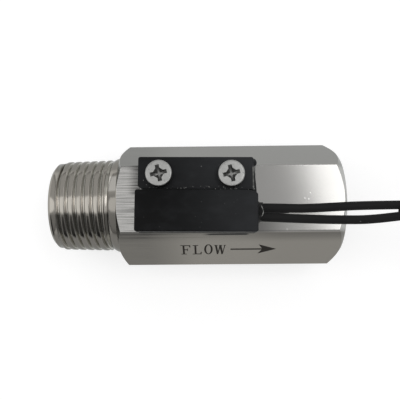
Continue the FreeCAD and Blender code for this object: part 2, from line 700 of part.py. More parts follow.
def make_cord(label, points, diameter):
    """A round tube along a route, tested against its section times its length."""
    edges, radii = rounded_path(points)
    path = Part.Wire(edges)
    heading = Vector(*points[1]) - Vector(*points[0])
    section = Part.Wire(Part.makeCircle(size(diameter) / 2, Vector(*points[0]), heading))
    cord = DOC.addObject("Part::Feature", label)
    cord.Shape = path.makePipeShell([section], True, False)
    expected = math.pi * size(diameter) ** 2 / 4 * path.Length
    if abs(cord.Shape.Volume / expected - 1) > VOLUME_SLACK:
        raise RuntimeError(f"{label} has a volume of {cord.Shape.Volume:.2f}, not {expected:.2f}")
    print(f"{label}: length {path.Length:.1f}, radii {radii}")
    return node(cord, label)


def stadium(name, radius, height, x, y, z):
    """Upright block with two round ends: both end loops of the hank and the runs between them."""
    ends = [
        rod(f"{name}_{end}", f"({radius}) * 2", height, place_x, y, z, Rotation())
        for end, place_x in (("near", x), ("far", f"{x} + dim.hank_run"))
    ]
    middle = add("Part::Box", f"{name}_middle", Length="dim.hank_run", Width=f"({radius}) * 2", Height=height)
    place(middle, x, f"{y} - ({radius})", z)
    return fuse(name, *ends, middle)


def make_hank():
    """Outer shape of the folded cable: an oval ring, without the stretch that the last turn leaves open."""
    height = "dim.sheath_dia * dim.hank_layers"
    floor = "-dim.hex_flats / 2 + dim.tie_thick"
    middle = "dim.hank_front + dim.fold_radius"
    outside = stadium(
        "hank_outside", "dim.fold_radius + dim.sheath_dia / 2", height, "dim.fold_first", middle, floor
    )
    inside = stadium(
        "hank_inside", "dim.fold_radius - dim.sheath_dia / 2", height, "dim.fold_first", middle, floor
    )
    open_run = add(
        "Part::Box", "hank_open_run",
        Length="dim.hank_end - dim.fold_first", Width="dim.sheath_dia", Height="dim.sheath_dia",
    )
    place(open_run, "dim.fold_first", f"{middle} + dim.fold_radius - dim.sheath_dia / 2", floor)
    node(cut("cable_hank", cut("hank_ring", outside, inside), open_run), "cable_hank")

    band = add(
        "Part::Box", "tie_outside", Length="dim.tie_width",
        Width="dim.sheath_dia + 2 * dim.tie_thick", Height=f"{height} + 2 * dim.tie_thick",
    )
    place(band, "dim.tie_place - dim.tie_width / 2",
          "dim.hank_front - dim.sheath_dia / 2 - dim.tie_thick", "-dim.hex_flats / 2")
    bundle = add("Part::Box", "tie_inside", Length="dim.tie_width", Width="dim.sheath_dia", Height=height)
    place(bundle, "dim.tie_place - dim.tie_width / 2", "dim.hank_front - dim.sheath_dia / 2", floor)
    node(cut("hank_tie", band, bundle), "hank_tie")


def make_tinned_ends():
    """Bare tinned ends that carry on in the direction of each tail's last run."""
    ends = []
    for name, route in (("front", TAIL_FRONT), ("rear", TAIL_REAR)):
        last, before = Vector(*route[-1]), Vector(*route[-2])
        end = add(
            "Part::Cylinder", f"tinned_{name}", Radius="dim.conductor_dia / 2", Height="dim.tinned_length"
        )
        end.Placement = Placement(last, Rotation(Vector(0, 0, 1), last - before))
        ends.append(end)
    return node(compound("tinned_ends", *ends), "tinned_ends")


def check_document():
    for thing in DOC.Objects:
        if {"Invalid", "Error"} & set(thing.State):
            raise RuntimeError(f"{thing.Label} failed: {thing.State}")
    for thing in NODES:
        if thing.Shape.isNull() or not thing.Shape.isValid() or not thing.Shape.Solids:
            raise RuntimeError(f"{thing.Label} has no valid solid")


def main():
    make_hex_body()
    make_piston()
    make_magnet_and_cap()
    make_spring()
    make_retainer()
    make_retaining_ring()
    make_reed_housing()
    make_module_screws()
    make_reed_glass()
    make_reed_blades()
    joints = make_inner_wires()
    DOC.recompute()
    make_solder_joints(joints)
    make_cord("wire_front", WIRE_FRONT, "dim.wire_dia")
    make_cord("wire_rear", WIRE_REAR, "dim.wire_dia")
    DOC.recompute()
    inside_resin = (
        "reed_glass", "reed_blade_inlet", "reed_blade_outlet", "conductor_ends", "inner_wires",
        "solder_joints", "wire_front", "wire_rear",
    )
    make_potting([thing for thing in NODES if thing.Label in inside_resin])
    make_cord("cable_run", CABLE_RUN, "dim.sheath_dia")
    make_hank()
    make_cord("tail_front", TAIL_FRONT, "dim.wire_dia")
    make_cord("tail_rear", TAIL_REAR, "dim.wire_dia")
    make_tinned_ends()
    DOC.recompute()
    check_document()
    os.makedirs("parts", exist_ok=True)
    for thing in NODES:
        thing.Shape.exportStep(os.path.join("parts", f"{thing.Label}.step"))
        print(f"{thing.Label}: {len(thing.Shape.Solids)} solids, {thing.Shape.Volume:.2f} cubic millimetres")


main()
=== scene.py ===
"""Dresses the CAD frame of an inline piston flow switch for rendering. Metres, in the frame of the CAD model:
the origin is on the flow axis at the hexagon's inlet shoulder, X runs with the flow and Z points up."""

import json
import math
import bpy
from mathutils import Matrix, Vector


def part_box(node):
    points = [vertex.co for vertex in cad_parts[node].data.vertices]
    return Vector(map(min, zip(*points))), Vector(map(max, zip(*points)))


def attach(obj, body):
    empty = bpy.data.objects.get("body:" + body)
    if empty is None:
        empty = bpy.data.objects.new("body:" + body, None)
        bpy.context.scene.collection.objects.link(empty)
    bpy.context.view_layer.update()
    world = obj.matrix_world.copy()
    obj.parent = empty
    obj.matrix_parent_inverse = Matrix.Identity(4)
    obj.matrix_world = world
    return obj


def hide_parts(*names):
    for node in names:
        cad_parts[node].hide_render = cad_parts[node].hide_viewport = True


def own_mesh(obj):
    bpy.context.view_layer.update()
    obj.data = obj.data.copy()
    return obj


bl_info = {
    "name": "Inline flow switch",
    "version": (1, 0, 0),
    "blender": (4, 5, 0),
    "location": "3D View > Sidebar > Flow switch",
    "description": "Dresses the CAD frame of an inline piston flow switch and lights it",
    "category": "Object",
}

import bmesh
import bpy
from bpy.props import FloatProperty, FloatVectorProperty, IntProperty, PointerProperty
from mathutils import Matrix, Vector, noise

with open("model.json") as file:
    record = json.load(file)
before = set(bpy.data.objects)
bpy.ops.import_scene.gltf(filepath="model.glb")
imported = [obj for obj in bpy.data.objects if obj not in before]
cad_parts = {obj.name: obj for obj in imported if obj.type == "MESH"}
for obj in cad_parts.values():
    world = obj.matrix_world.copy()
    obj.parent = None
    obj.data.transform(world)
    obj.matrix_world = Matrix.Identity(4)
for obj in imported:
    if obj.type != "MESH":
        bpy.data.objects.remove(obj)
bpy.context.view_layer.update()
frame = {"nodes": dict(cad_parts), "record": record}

MM = 0.001
BODY = "switch_body"
BODY_LOW, BODY_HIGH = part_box("hex_body")
HOUSING_LOW, HOUSING_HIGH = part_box("reed_housing")
SCREWS_LOW, SCREWS_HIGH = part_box("module_screws")
SPRING_LOW, SPRING_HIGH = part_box("return_spring")
MOUNTS = {mount["name"]: mount["dims"] for mount in frame["record"]["mounts"]}
MALE_RADIUS = MOUNTS["inlet_thread"]["r_mm"] * MM
FEMALE_RADIUS = MOUNTS["outlet_thread"]["r_mm"] * MM
FLAT = BODY_HIGH.z

# Routes of the wires and the cable in millimetres, within a few tenths of the CAD model's corner points
WIRE_START = 27.2
SHEATH_MOUTH = 58.5
SHEATH_LAP = 0.2
HANK_END = 139.6
WIRE_REAR = [
    (WIRE_START, -2.42, 15.1), (33.0, -2.48, 15.1), (38.0, -2.68, 15.0), (44.0, -2.42, 14.9),
    (50.0, -2.12, 14.8), (SHEATH_MOUTH, -2.08, 14.7),
]
WIRE_FRONT = [
    (WIRE_START, -4.22, 15.1), (32.0, -4.42, 15.1), (38.8, -4.78, 15.0), (46.5, -5.02, 14.9),
    (52.5, -4.98, 14.8), (SHEATH_MOUTH, -4.22, 14.7),
]
CABLE_RUN = [
    (SHEATH_MOUTH - SHEATH_LAP, -3.11, 14.7), (68.6, -3.9, 14.0), (79.0, -8.0, 10.9), (89.6, -12.2, 6.0),
    (100.4, -14.0, 2.2), (111.4, -13.7, 0.3), (122.5, -13.2, -0.4),
]
TAIL_FRONT = [
    (HANK_END, 12.37, -9.2), (133.1, 12.1, -9.6), (125.6, 9.4, -10.8),
    (117.6, 5.8, -11.17), (109.6, 3.6, -11.17),
]
TAIL_REAR = [
    (HANK_END, 14.03, -9.2), (133.1, 14.0, -9.6), (125.6, 12.2, -10.8),
    (117.6, 9.1, -11.17), (109.6, 7.0, -11.17),
]


# Settings

def length(name, default, description):
    return FloatProperty(name=name, description=description, default=default, unit="LENGTH", precision=5)


def share(name, default, description):
    return FloatProperty(name=name, description=description, default=default, subtype="FACTOR")


def angle(name, degrees, description):
    return FloatProperty(
        name=name, description=description, default=math.radians(degrees), subtype="ANGLE"
    )


def colour(name, default, description):
    return FloatVectorProperty(
        name=name, description=description, default=default, subtype="COLOR", size=3, min=0, max=1
    )


class BodySettings(bpy.types.PropertyGroup):
    """Hexagon bar with its two pipe threads"""

    pitch: length("Thread pitch", 1.814 * MM, "From one turn of the pipe threads to the next")
    groove: length("Thread depth", 0.95 * MM, "Depth of the male thread's groove")
    crest_wear: length("Crest wear", 0.12 * MM, "Wear of the male thread's crests")
    taper: share("Thread taper", 1 / 16, "Growth of the male thread's diameter along its length")
    crest_place: length("Crest place", -3.36 * MM, "Where a crest of the male thread passes the rear side")
    thread_end: length("Thread end", -2.95 * MM, "Where the relief groove cuts the male thread off")
    gauge_plane: length("Gauge plane", -7.04 * MM, "Where the male thread has its nominal diameter")
    tip_radius: length("Tip radius", 9.2 * MM, "End face of the male thread")
    pilot_radius: length("Pilot radius", 9.8 * MM, "Plain start of the male thread")
    pilot_length: length("Pilot length", 1.6 * MM, "Plain start of the male thread")
    inlet_face: length("Inlet face", -0.15 * MM, "Face of the hexagon's inlet end")
    inlet_radius: length("Inlet end radius", 11.98 * MM, "Circle that the chamfer leaves on the inlet end")
    inlet_slope: angle("Inlet chamfer", 31, "Slope of the inlet end's chamfer to the end face")
    outlet_face: length("Outlet face", 48.16 * MM, "Face of the hexagon's outlet end")
    outlet_radius: length("Outlet end radius", 11.44 * MM, "Circle that the chamfer leaves on the outlet end")
    outlet_slope: angle("Outlet chamfer", 39, "Slope of the outlet end's chamfer to the end face")
    corner: length("Corner rounding", 0.22 * MM, "Rounding of the hexagon's long edges")
    edge: length("Edge rounding", 0.16 * MM, "Rounding where chamfers meet flats")
    steel: colour("Steel", (0.300, 0.296, 0.287), "Drawn stainless bar")
    edge_tone: colour("Edge tone", (0.68, 0.69, 0.68), "Tone of the steel at a grazing angle")
    marking: colour("Marking", (0.016, 0.013, 0.010), "Etched flow marking")


class ModuleSettings(bpy.types.PropertyGroup):
    """Reed module with its screws"""

    block_depth: length("Block depth", 8.25 * MM, "Raised block from its front to the flange")
    flange_height: length("Flange height", 2.5 * MM, "Thickness of the screw flange")
    parting: length("Parting groove", 0.5 * MM, "Width of the groove between block and flange")
    parting_depth: length("Parting depth", 0.35 * MM, "Depth of the groove between block and flange")
    wall: length("Wall", 0.9 * MM, "Wall round the resin at the open end")
    head: length("Screw head", 5.4 * MM, "Diameter of the pan heads")
    head_height: length("Head height", 2.0 * MM, "Height of the pan heads")
    recess: length("Recess", 3.45 * MM, "Span of the cross recess")
    recess_arm: length("Recess arm", 0.78 * MM, "Width of the cross recess's arms")
    recess_turn: angle("Recess turn", 13, "Turn of the cross recess")
    flange_draft: length("Flange draft", 0.62 * MM, "Slope of the flange's outlet end, at its top")
    askew: angle("Askew", -0.7, "How far the module is turned on its flat, as its screws allow")
    moulding: colour("Moulding", (0.0020, 0.0021, 0.0023), "Black moulding compound")
    # Lighter tone of the moulding: painted light towards its open end, and the tone of its patches and its
    # flange
    lit_moulding: colour("Handled", (0.0215, 0.0226, 0.0244), "Moulding that is greyed by handling")
    resin: colour("Resin", (0.0040, 0.0040, 0.0042), "Black potting resin")
    plating: colour("Plating", (0.40, 0.40, 0.39), "Nickel plating of the screws")
    dull: colour("Dulled plating", (0.385, 0.385, 0.375), "Plating of the screw at the inlet")


class LeadSettings(bpy.types.PropertyGroup):
    """Wires, sheath and hank"""

    wire: length("Wire", 1.8 * MM, "Diameter of a single wire")
    sheath: length("Sheath", 4.4 * MM, "Diameter of the two-core cable")
    strand: length("Conductor", 0.76 * MM, "Diameter of a tinned end")
    tinned: length("Tinned length", 6 * MM, "Bare tinned end of a wire")
    fold_radius: length("Fold radius", 13.2 * MM, "Radius of the hank's end loops")
    fold_first: length("First fold", 112 * MM, "Middle of the end loop next to the body")
    run: length("Hank run", 34.7 * MM, "Straight part of the hank")
    layers: IntProperty(name="Layers", description="Turns that lie on each other", default=3)
    skin: colour("Skin", (0.0105, 0.0105, 0.0107), "Black insulation")


class ValveSettings(bpy.types.PropertyGroup):
    """Piston, spring and retainer inside the body"""

    spring_wire: length("Spring wire", 0.5 * MM, "Diameter of the spring wire")
    spring_mean: length("Spring diameter", 7.5 * MM, "Diameter at the middle of the wire")
    spring_turns: IntProperty(name="Spring turns", description="Open turns of the spring", default=6)
    acetal: colour("Acetal", (0.78, 0.77, 0.73), "Natural acetal of piston and retainer")


class StageSettings(bpy.types.PropertyGroup):
    """Camera, floor and studio light"""

    lens: FloatProperty(name="Lens", description="Focal length in millimetres", default=43.04)
    floor: colour("Floor", (0.45, 0.45, 0.45), "Pale table")
    lift: share("Floor lift", 0.66, "Evens the floor out to white for camera, mirror and glass rays")
    sky_rear: share("Rear sky", 0.70, "Brightness of the room behind the object")
    sky_front: share("Front sky", 0.55, "Brightness of the room in front of the object")
    horizon: share("Horizon", 0.55, "Share of the room's brightness that is left at the horizon")


def settings():
    return bpy.context.scene.flow_switch


class SwitchSettings(bpy.types.PropertyGroup):
    """All settings of the flow switch"""

    body: PointerProperty(type=BodySettings)
    module: PointerProperty(type=ModuleSettings)
    leads: PointerProperty(type=LeadSettings)
    valve: PointerProperty(type=ValveSettings)
    stage: PointerProperty(type=StageSettings)


# Node trees

class Value:
    """A socket of a node tree. Arithmetic on it adds Math nodes, and node() adds any other node."""

    def __init__(self, tree, socket=None):
        self.tree = tree
        self.socket = socket

    def node(self, kind, options=None, sockets=None, output=0):
        """Adds a node: first its settings, then a value or a link for each of the sockets that are named."""
        made = self.tree.nodes.new(kind)
        for name, option in (options or {}).items():
            setattr(made, name, option)
        for name, value in (sockets or {}).items():
            if isinstance(value, Value):
                self.tree.links.new(value.socket, made.inputs[name])
            else:
                made.inputs[name].default_value = value
        if isinstance(output, tuple):
            return tuple(Value(self.tree, made.outputs[name]) for name in output)
        return Value(self.tree, made.outputs[output] if made.outputs else None)

    def maths(self, operation, *terms):
        return self.node("ShaderNodeMath", {"operation": operation}, dict(enumerate(terms)))

    def __add__(self, other):
        return self.maths("ADD", self, other)

    def __radd__(self, other):
        return self.maths("ADD", other, self)

    def __sub__(self, other):
        return self.maths("SUBTRACT", self, other)

    def __rsub__(self, other):
        return self.maths("SUBTRACT", other, self)

    def __mul__(self, other):
        return self.maths("MULTIPLY", self, other)

    def __rmul__(self, other):
        return self.maths("MULTIPLY", other, self)

    def __abs__(self):
        return self.maths("ABSOLUTE", self)

    def __gt__(self, other):
        return self.maths("GREATER_THAN", self, other)

    def __lt__(self, other):
        return self.maths("LESS_THAN", self, other)


def at_most(value, limit):
    return value.maths("MINIMUM", value, limit)


def at_least(value, limit):
    return value.maths("MAXIMUM", value, limit)


def fade(value, low, high, start=0.0, end=1.0):
    """Carries a value over softly from one range to another, held at its ends."""
    return value.node(
        "ShaderNodeMapRange", {"interpolation_type": "SMOOTHSTEP"},
        {"Value": value, "From Min": low, "From Max": high, "To Min": start, "To Max": end}, "Result",
    )


def between(value, start, full, still, end):
    """1 from full to still, 0 up to start and past end, and soft on the way."""
    return fade(value, start, full) * fade(value, end, still)


def place_of(start):
    """The place on the piece in metres of the CAD frame, and its three parts in millimetres."""
    place = start.node("ShaderNodeTexCoord", output="Object")
    finer = start.node("ShaderNodeVectorMath", {"operation": "SCALE"}, {0: place, "Scale": 1 / MM})
    return place, start.node("ShaderNodeSeparateXYZ", None, {"Vector": finer}, ("X", "Y", "Z"))


def grain(place, per_metre, detail=2.0, rough=0.5):
    """Noise with its own count of features per metre along each axis."""
    if not isinstance(per_metre, tuple):
        per_metre = (per_metre,) * 3
    spread = place.node("ShaderNodeVectorMath", {"operation": "MULTIPLY"}, {0: place, 1: per_metre})
    return place.node(
        "ShaderNodeTexNoise", None,
        {"Vector": spread, "Scale": 1.0, "Detail": detail, "Roughness": rough}, "Fac",
    )


def specks(place, per_metre, size, chance):
    """Scattered round spots: 1 in a spot and 0 beside it. Size is a share of their spacing."""
    cells = {"Vector": place, "Scale": per_metre, "Randomness": 1.0}
    distance, tone = place.node("ShaderNodeTexVoronoi", None, cells, ("Distance", "Color"))
    draw = place.node("ShaderNodeSeparateColor", None, {"Color": tone}, "Red")
    return (distance < size) * (draw < chance)


def tint(amount, dark, light):
    """A colour between two others."""
    return amount.node(
        "ShaderNodeMix", {"data_type": "RGBA"}, {0: amount, 6: as_colour(dark), 7: as_colour(light)}, 2
    )


def as_colour(value):
    return value if isinstance(value, Value) else (*value, 1.0)


def dent(height, depth):
    """A surface normal from heights of 0 to 1, for the depth in millimetres that a height of 1 stands for."""
    return height.node("ShaderNodeBump", None, {"Height": height, "Distance": depth * MM}, "Normal")


def finish(name, shade):
    """The finish of that name. Its own function makes the nodes when it is first asked for."""
    title = f"{name}_finish"
    material = bpy.data.materials.get(title)
    if material is None:
        material = bpy.data.materials.new(title)
        material.use_nodes = True
        material.node_tree.nodes.clear()
        surface = shade(Value(material.node_tree))
        surface.node("ShaderNodeOutputMaterial", None, {"Surface": surface})
    return material


def principled(start, sockets):
    return start.node("ShaderNodeBsdfPrincipled", None, sockets)


def scaled(rgb, factor):
    return tuple(part * factor for part in rgb)


# Finishes

# Tones of the steel by place: its own warm tone, and painted highlights, painted light and painted shade
WARM_STEEL = (0.340, 0.322, 0.290)
BEVEL_PAINTED_HIGHLIGHT = (0.60, 0.60, 0.59)
NECK_PAINTED_HIGHLIGHT = (0.58, 0.56, 0.52)
KNOCK_GLINT = (0.55, 0.55, 0.54)
GROOVE_PAINTED_LIGHT = (0.60, 0.59, 0.56)
GROOVE_PAINTED_HIGHLIGHT = (0.66, 0.64, 0.61)
GROOVE_PAINTED_SHADE_FRONT = (0.42, 0.41, 0.38)
GROOVE_PAINTED_SHADE_REAR = (0.52, 0.51, 0.48)
PAINTED_THREAD_SHADE = (0.070, 0.069, 0.064)
PAINTED_SHADE_MOST = 0.86

# Limits of the steel's zones in millimetres
THREAD_SIDE = 0.05
TURNED_RADIUS = 11.2
BORE_RADIUS = 9.0
PILOT_END = -13.2
NECK_START = -2.4
BEVEL_MARGIN = 0.03

# Small knocks on the top flat, as places along and across it and their reach, in millimetres
KNOCKS = (
    (39.2, -0.2, 0.30), (40.0, -0.4, 0.30), (40.4, 0.9, 0.22), (30.6, 6.7, 0.22), (35.6, 6.7, 0.22),
    (46.1, 4.4, 0.22), (35.4, -6.6, 0.30), (0.9, 6.3, 0.28),
)
KNOCK_HEART = 0.1


def knocks_on(place):
    """1 in the middle of a knock and 0 beside it."""
    total = 0
    for x, y, reach in KNOCKS:
        ends = {0: place, 1: (x * MM, y * MM, FLAT)}
        distance = place.node("ShaderNodeVectorMath", {"operation": "DISTANCE"}, ends, "Value")
        total = fade(distance, reach * MM, KNOCK_HEART * reach * MM) + total
    return total


def flats_shade(x, y, z, front, rear, top):
    """Painted shade on the drawn flats: the front one below the module, with a thin shadow line under the
    block, the rear one by the inlet, and the top one beside the module's inlet end and in the shadow of the
    wires."""
    along = fade(x, 18, 6, 0.36, 0.61) + fade(x, 26, 36, 0.0, 0.05)
    below = fade(z, 10.6, 11.8) * fade(x, 10, 20, 0.22, 0.08)
    below = below + fade(z, 8.0, 11.0) * fade(x, 14, 34, 0.08, 0.26)
    # Painted shadow: a thin dark line on the front flat under the block's overhang
    overhang_shadow = fade(abs(z - 11.03), 0.34, 0.18) * between(x, 17.5, 21.5, 26.0, 28.0)
    # Painted shadow on the top flat beside the module's inlet end
    module_shadow = fade(x, 2.0, 4.9) * (x < 5) * fade(y, 0.2, 1.2) * 0.65
    # Painted shadow of the wires on the top flat
    wire_shadow = fade(y, -4.2, -5.4) * fade(x, 29, 37, 0.56, 0.0) * (x > 20)
    return front * (along + below + overhang_shadow) + rear * fade(x, 14, 4, 0.12, 0.30) + top * (module_shadow + wire_shadow)


def painted_groove_light(y, under, lit):
    """Painted light down in the male thread's groove: lighter than the bare steel, lightest in the lit band
    on its upper side and with painted shade low on both sides.
    """
    low = tint(fade(y, -6, 6), GROOVE_PAINTED_SHADE_FRONT, GROOVE_PAINTED_SHADE_REAR)
    return tint(lit, tint(under, GROOVE_PAINTED_LIGHT, low), GROOVE_PAINTED_HIGHLIGHT)


def thread_painted_shade(y, depth, neck):
    """Painted shade on the front side of the male thread, from just below its crests, and on its neck: a
    painted dark reflection.
    """
    lines = fade(depth, 0.121, 0.145) * fade(depth, 0.16, 0.45, PAINTED_SHADE_MOST, 0.45) + neck * 0.45
    return at_most(lines * between(y, -7.2, -6.2, -3.2, -2.2), PAINTED_SHADE_MOST)


def shade_stainless(start):
    """Drawn bar with streaks on its top flat by the inlet, turning marks on threads and bores, and painted
    light and shade by place.
    """
    body = settings().body
    place, (x, y, z) = place_of(start)
    square = y * y + z * z
    radius = square.maths("SQRT", square)
    crest = MALE_RADIUS / MM + (x - body.gauge_plane / MM) * (body.taper / 2)
    depth = crest - radius

    # Zones: what is turned, the flats of the drawn bar, and the outer side of the threaded end
    thread = x < THREAD_SIDE
    turned = at_least(thread, radius < TURNED_RADIUS)
    drawn = 1 - turned
    front = fade(y, -6.8, -7.4) * drawn
    rear = fade(y, 6.8, 7.4) * drawn
    top = (1 - front - rear) * drawn
    neck = thread * (x > NECK_START)
    threaded = thread * (radius > BORE_RADIUS)
    root = fade(depth, 0.16, 0.50) * threaded * (x > PILOT_END)
    # Painted shade on the thread's underside, low to the front and to the rear
    under = fade(abs(y), 6.2, 7.2) * thread * (x > BODY_LOW.x / MM + THREAD_SIDE)
    # The band along the thread's top that catches the overhead light, for the painted light and shade below
    lit = between(y, -3.2, -2.2, 0.6, 1.8)
    cone = math.tan(body.outlet_slope)
    bevel_start = (body.outlet_face + body.outlet_radius * cone) / MM - BEVEL_MARGIN
    bevel = (x + radius * cone > bevel_start) * fade(abs(y), 7.2, 6.0) * drawn

    # Marks of drawing, turning and handling
    rubbing_and_edge_highlight = fade(x, 9, 5) * (0.10 * drawn + top * 0.90)
    rubbing_and_edge_highlight = rubbing_and_edge_highlight + front * fade(z, 8.8, 10.2) * fade(x, 24, 18) * 0.25
    lines = fade(grain(place, (60, 7000, 7000), 3.0, 0.6), 0.47, 0.66) * rubbing_and_edge_highlight
    scratch = fade(grain(place, (45, 2600, 2600), 2.0), 0.60, 0.72) * rubbing_and_edge_highlight
    rings = grain(place, (9000, 120, 120), 2.0, 0.6) * turned
    cloud = grain(place, (110, 160, 160), 2.0)
    knocks = knocks_on(place)

    # Wear marks of drawing, scratching and turning, with the painted shade of the thread's underside added
    wear = lines * 0.90 + scratch * 0.30 + rings * 0.10 + under * fade(y, -6, 6, 0.56, 0.40)
    # Darkening from wear marks, painted shade on the thread's underside and on the flats, and painted shade
    # on the neck's lit band
    dark = at_most(wear + flats_shade(x, y, z, front, rear, top) + neck * lit * 0.30, 1.0)
    bare = tint(at_most(front + thread, 1.0), body.steel, WARM_STEEL)
    # Painted highlight on the outlet chamfer, away from its sides
    bare = tint(bevel * 0.7, bare, BEVEL_PAINTED_HIGHLIGHT)
    # Painted highlight in a band along the neck
    bare = tint(neck * between(y, 1.6, 2.2, 5.0, 5.6), bare, NECK_PAINTED_HIGHLIGHT)
    bare = tint(dark, bare, scaled(body.steel, 0.12))
    # Painted light and shade down in the thread's groove
    bare = tint(root, bare, painted_groove_light(y, under, lit))
    # Painted shade on the thread's front side, a painted dark reflection
    bare = tint(thread_painted_shade(y, depth, neck) * threaded, bare, PAINTED_THREAD_SHADE)
    return principled(start, {
        # The knocks' dents are in the bump, and their lighter colour is a painted glint
        "Base Color": tint(at_most(knocks, 1.0) * 0.35, bare, KNOCK_GLINT),
        "Metallic": 1.0,
        "Roughness": 0.10 + lines * 0.10 + front * 0.12 + turned * 0.03 + cloud * 0.04 + top * 0.03,
        "Specular Tint": as_colour(body.edge_tone),
        "Normal": dent(lines * 0.6 + rings * 0.8 + cloud * 0.4 + knocks * 0.5, 0.004),
    })


def shade_marking(start):
    """Dark oxide of an etched marking."""
    place, _ = place_of(start)
    spots = grain(place, 4000, 3.0, 0.7)
    oxide = settings().body.marking
    return principled(start, {
        "Base Color": tint(spots, scaled(oxide, 0.6), scaled(oxide, 1.7)),
        "Roughness": 0.45 + spots * 0.2,
        "Specular IOR Level": 0.08,
    })


def shade_moulding(start):
    """Satin black moulding, lighter towards its open end in painted light and lighter on the flange, with
    dust along the parting groove and a painted highlight along the top edge of the flange's end."""
    module = settings().module
    place, (x, y, _) = place_of(start)
    patch = fade(grain(place, (240, 420, 420), 3.0, 0.6), 0.40, 0.75)
    fine = grain(place, 9000, 2.0)
    groove = (HOUSING_LOW.y + module.block_depth + module.parting / 2) / MM
    on_flange = y > groove
    settled = specks(place, 3000, 0.34, 0.40) * fade(abs(y - groove), 1.0, 0.6) * on_flange
    settled = settled * fade(x, 7, 24, 0.3, 1.0)
    dust = at_most(specks(place, 3300, 0.28, 0.006) * (0.12 + on_flange * 0.6) + settled, 1.0)
    # Painted highlight along the top edge of the flange's drafted outlet end
    edge = (HOUSING_HIGH.x - module.flange_draft) / MM + 0.10
    rubbing_and_edge_highlight = fade(abs(x - edge), 0.20, 0.06) * fade(y, 6.6, 5.9)
    rubbing_and_edge_highlight = rubbing_and_edge_highlight * on_flange * fade(patch, 0.0, 0.5, 0.35, 1.0)
    # Painted light: the moulding gets lighter towards its open end, and it is lighter also in patches and on
    # the flange
    grey = at_most(fade(x, 8, 28, 0.0, 0.75) + patch * 0.25 + on_flange * 0.35, 1.0)
    tone_with_painted_light = tint(rubbing_and_edge_highlight, tint(grey, module.moulding, module.lit_moulding), (0.19, 0.19, 0.18))
    return principled(start, {
        "Base Color": tint(dust, tone_with_painted_light, (0.26, 0.26, 0.25)),
        "Roughness": 0.34 + patch * 0.10 + fine * 0.06 + dust * 0.3,
        "Specular IOR Level": 0.08,
        "Normal": dent(fine * 0.4 + patch, 0.004),
    })


def shade_resin(start):
    """Black potting resin with a slightly uneven skin, a few light specks, and a painted glint along the edge
    round the wires.
    """
    place, (x, y, z) = place_of(start)
    skin = grain(place, 900, 2.0)
    resin = settings().module.resin
    aside = abs(y - COLLAR_MIDDLE[0])
    # Painted glint along a bent line at the collar's end round the wires
    edge = fade(abs(x - 30.22 + aside * 0.40), 0.13, 0.05) * (aside < 1.15) * (z > 15.3)
    glint_and_specks = edge * fade(grain(place, 2600, 2.0), 0.35, 0.60) + specks(place, 800, 0.14, 0.16)
    return principled(start, {
        "Base Color": tint(at_most(glint_and_specks, 1.0), tint(skin, resin, scaled(resin, 2.0)), (0.30, 0.30, 0.29)),
        "Roughness": 0.22 + skin * 0.16,
        "Specular IOR Level": 0.12,
        "Normal": dent(skin, 0.02),
    })


def shade_plating(start):
    """Nickel plating, mottled and dulled, with painted shade down in the recess and on the head's sides."""
    module = settings().module
    place, (x, _, z) = place_of(start)
    face = SCREWS_HIGH.z / MM
    mottle = grain(place, 1500, 3.0, 0.6)
    spots = specks(place, 1900, 0.22, 0.10)
    clean = tint(fade(x, 12, 20), module.dull, module.plating)
    # Painted shade: darker down in the recess and down the head's sides
    down = fade(z, face - 0.10, face - 0.55)
    dark = at_most(spots * 0.35 + mottle * 0.35 + down * 0.55, 1.0)
    return principled(start, {
        "Base Color": tint(dark, clean, scaled(module.dull, 0.30)),
        "Metallic": 1.0,
        "Roughness": 0.36 + mottle * 0.14,
        "Normal": dent(mottle + spots, 0.008),
    })


def shade_skin(start):
    """Extruded black insulation with faint draw lines."""
    skin = settings().leads.skin
    place, _ = place_of(start)
    lines = grain(place, (150, 2600, 2600), 2.0)
    dust = specks(place, 1500, 0.18, 0.05)
    return principled(start, {
        "Base Color": tint(dust, tint(lines, skin, scaled(skin, 1.6)), (0.10, 0.10, 0.10)),
        "Roughness": 0.56 + lines * 0.10,
        "Specular IOR Level": 0.07,
        "Normal": dent(lines, 0.004),
    })


def shade_acetal(start):
    """Natural acetal, waxy and slightly cloudy."""
    acetal = settings().valve.acetal
    place, _ = place_of(start)
    cloud = grain(place, 350, 2.0)
    fine = grain(place, 6000, 2.0)
    return principled(start, {
        "Base Color": tint(cloud, acetal, scaled(acetal, 0.86)),
        "Roughness": 0.38 + fine * 0.12,
        "Normal": dent(fine, 0.003),
    })


def shade_bright(start, base, rough):
    """Bright metal with fine wear, for the small inner parts."""
    place, _ = place_of(start)
    wear = grain(place, 3500, 3.0, 0.6)
    return principled(start, {
        "Base Color": tint(wear, base, scaled(base, 0.75)),
        "Metallic": 1.0,
        "Roughness": rough + wear * 0.14,
        "Normal": dent(wear, 0.003),
    })


def shade_glass(start):
    """Green-tinted glass of the reed capsule."""
    place, _ = place_of(start)
    waves = grain(place, 500, 1.0)
    return principled(start, {
        "Base Color": tint(waves, (0.72, 0.86, 0.76), (0.80, 0.90, 0.82)),
        "Roughness": 0.03 + waves * 0.03,
        "Transmission Weight": 0.9,
        "IOR": 1.5,
    })


def shade_nylon(start):
    """Black nylon strap with fine cross ribs."""
    place, (_, _, z) = place_of(start)
    turns = z * 5.2
    ribs = turns.maths("SINE", turns)
    mottle = grain(place, 2500, 2.0)
    return principled(start, {
        "Base Color": tint(mottle, (0.010, 0.010, 0.010), (0.017, 0.017, 0.017)),
        "Roughness": 0.42 + mottle * 0.1,
        "Normal": dent(ribs * 0.5 + mottle, 0.02),
    })


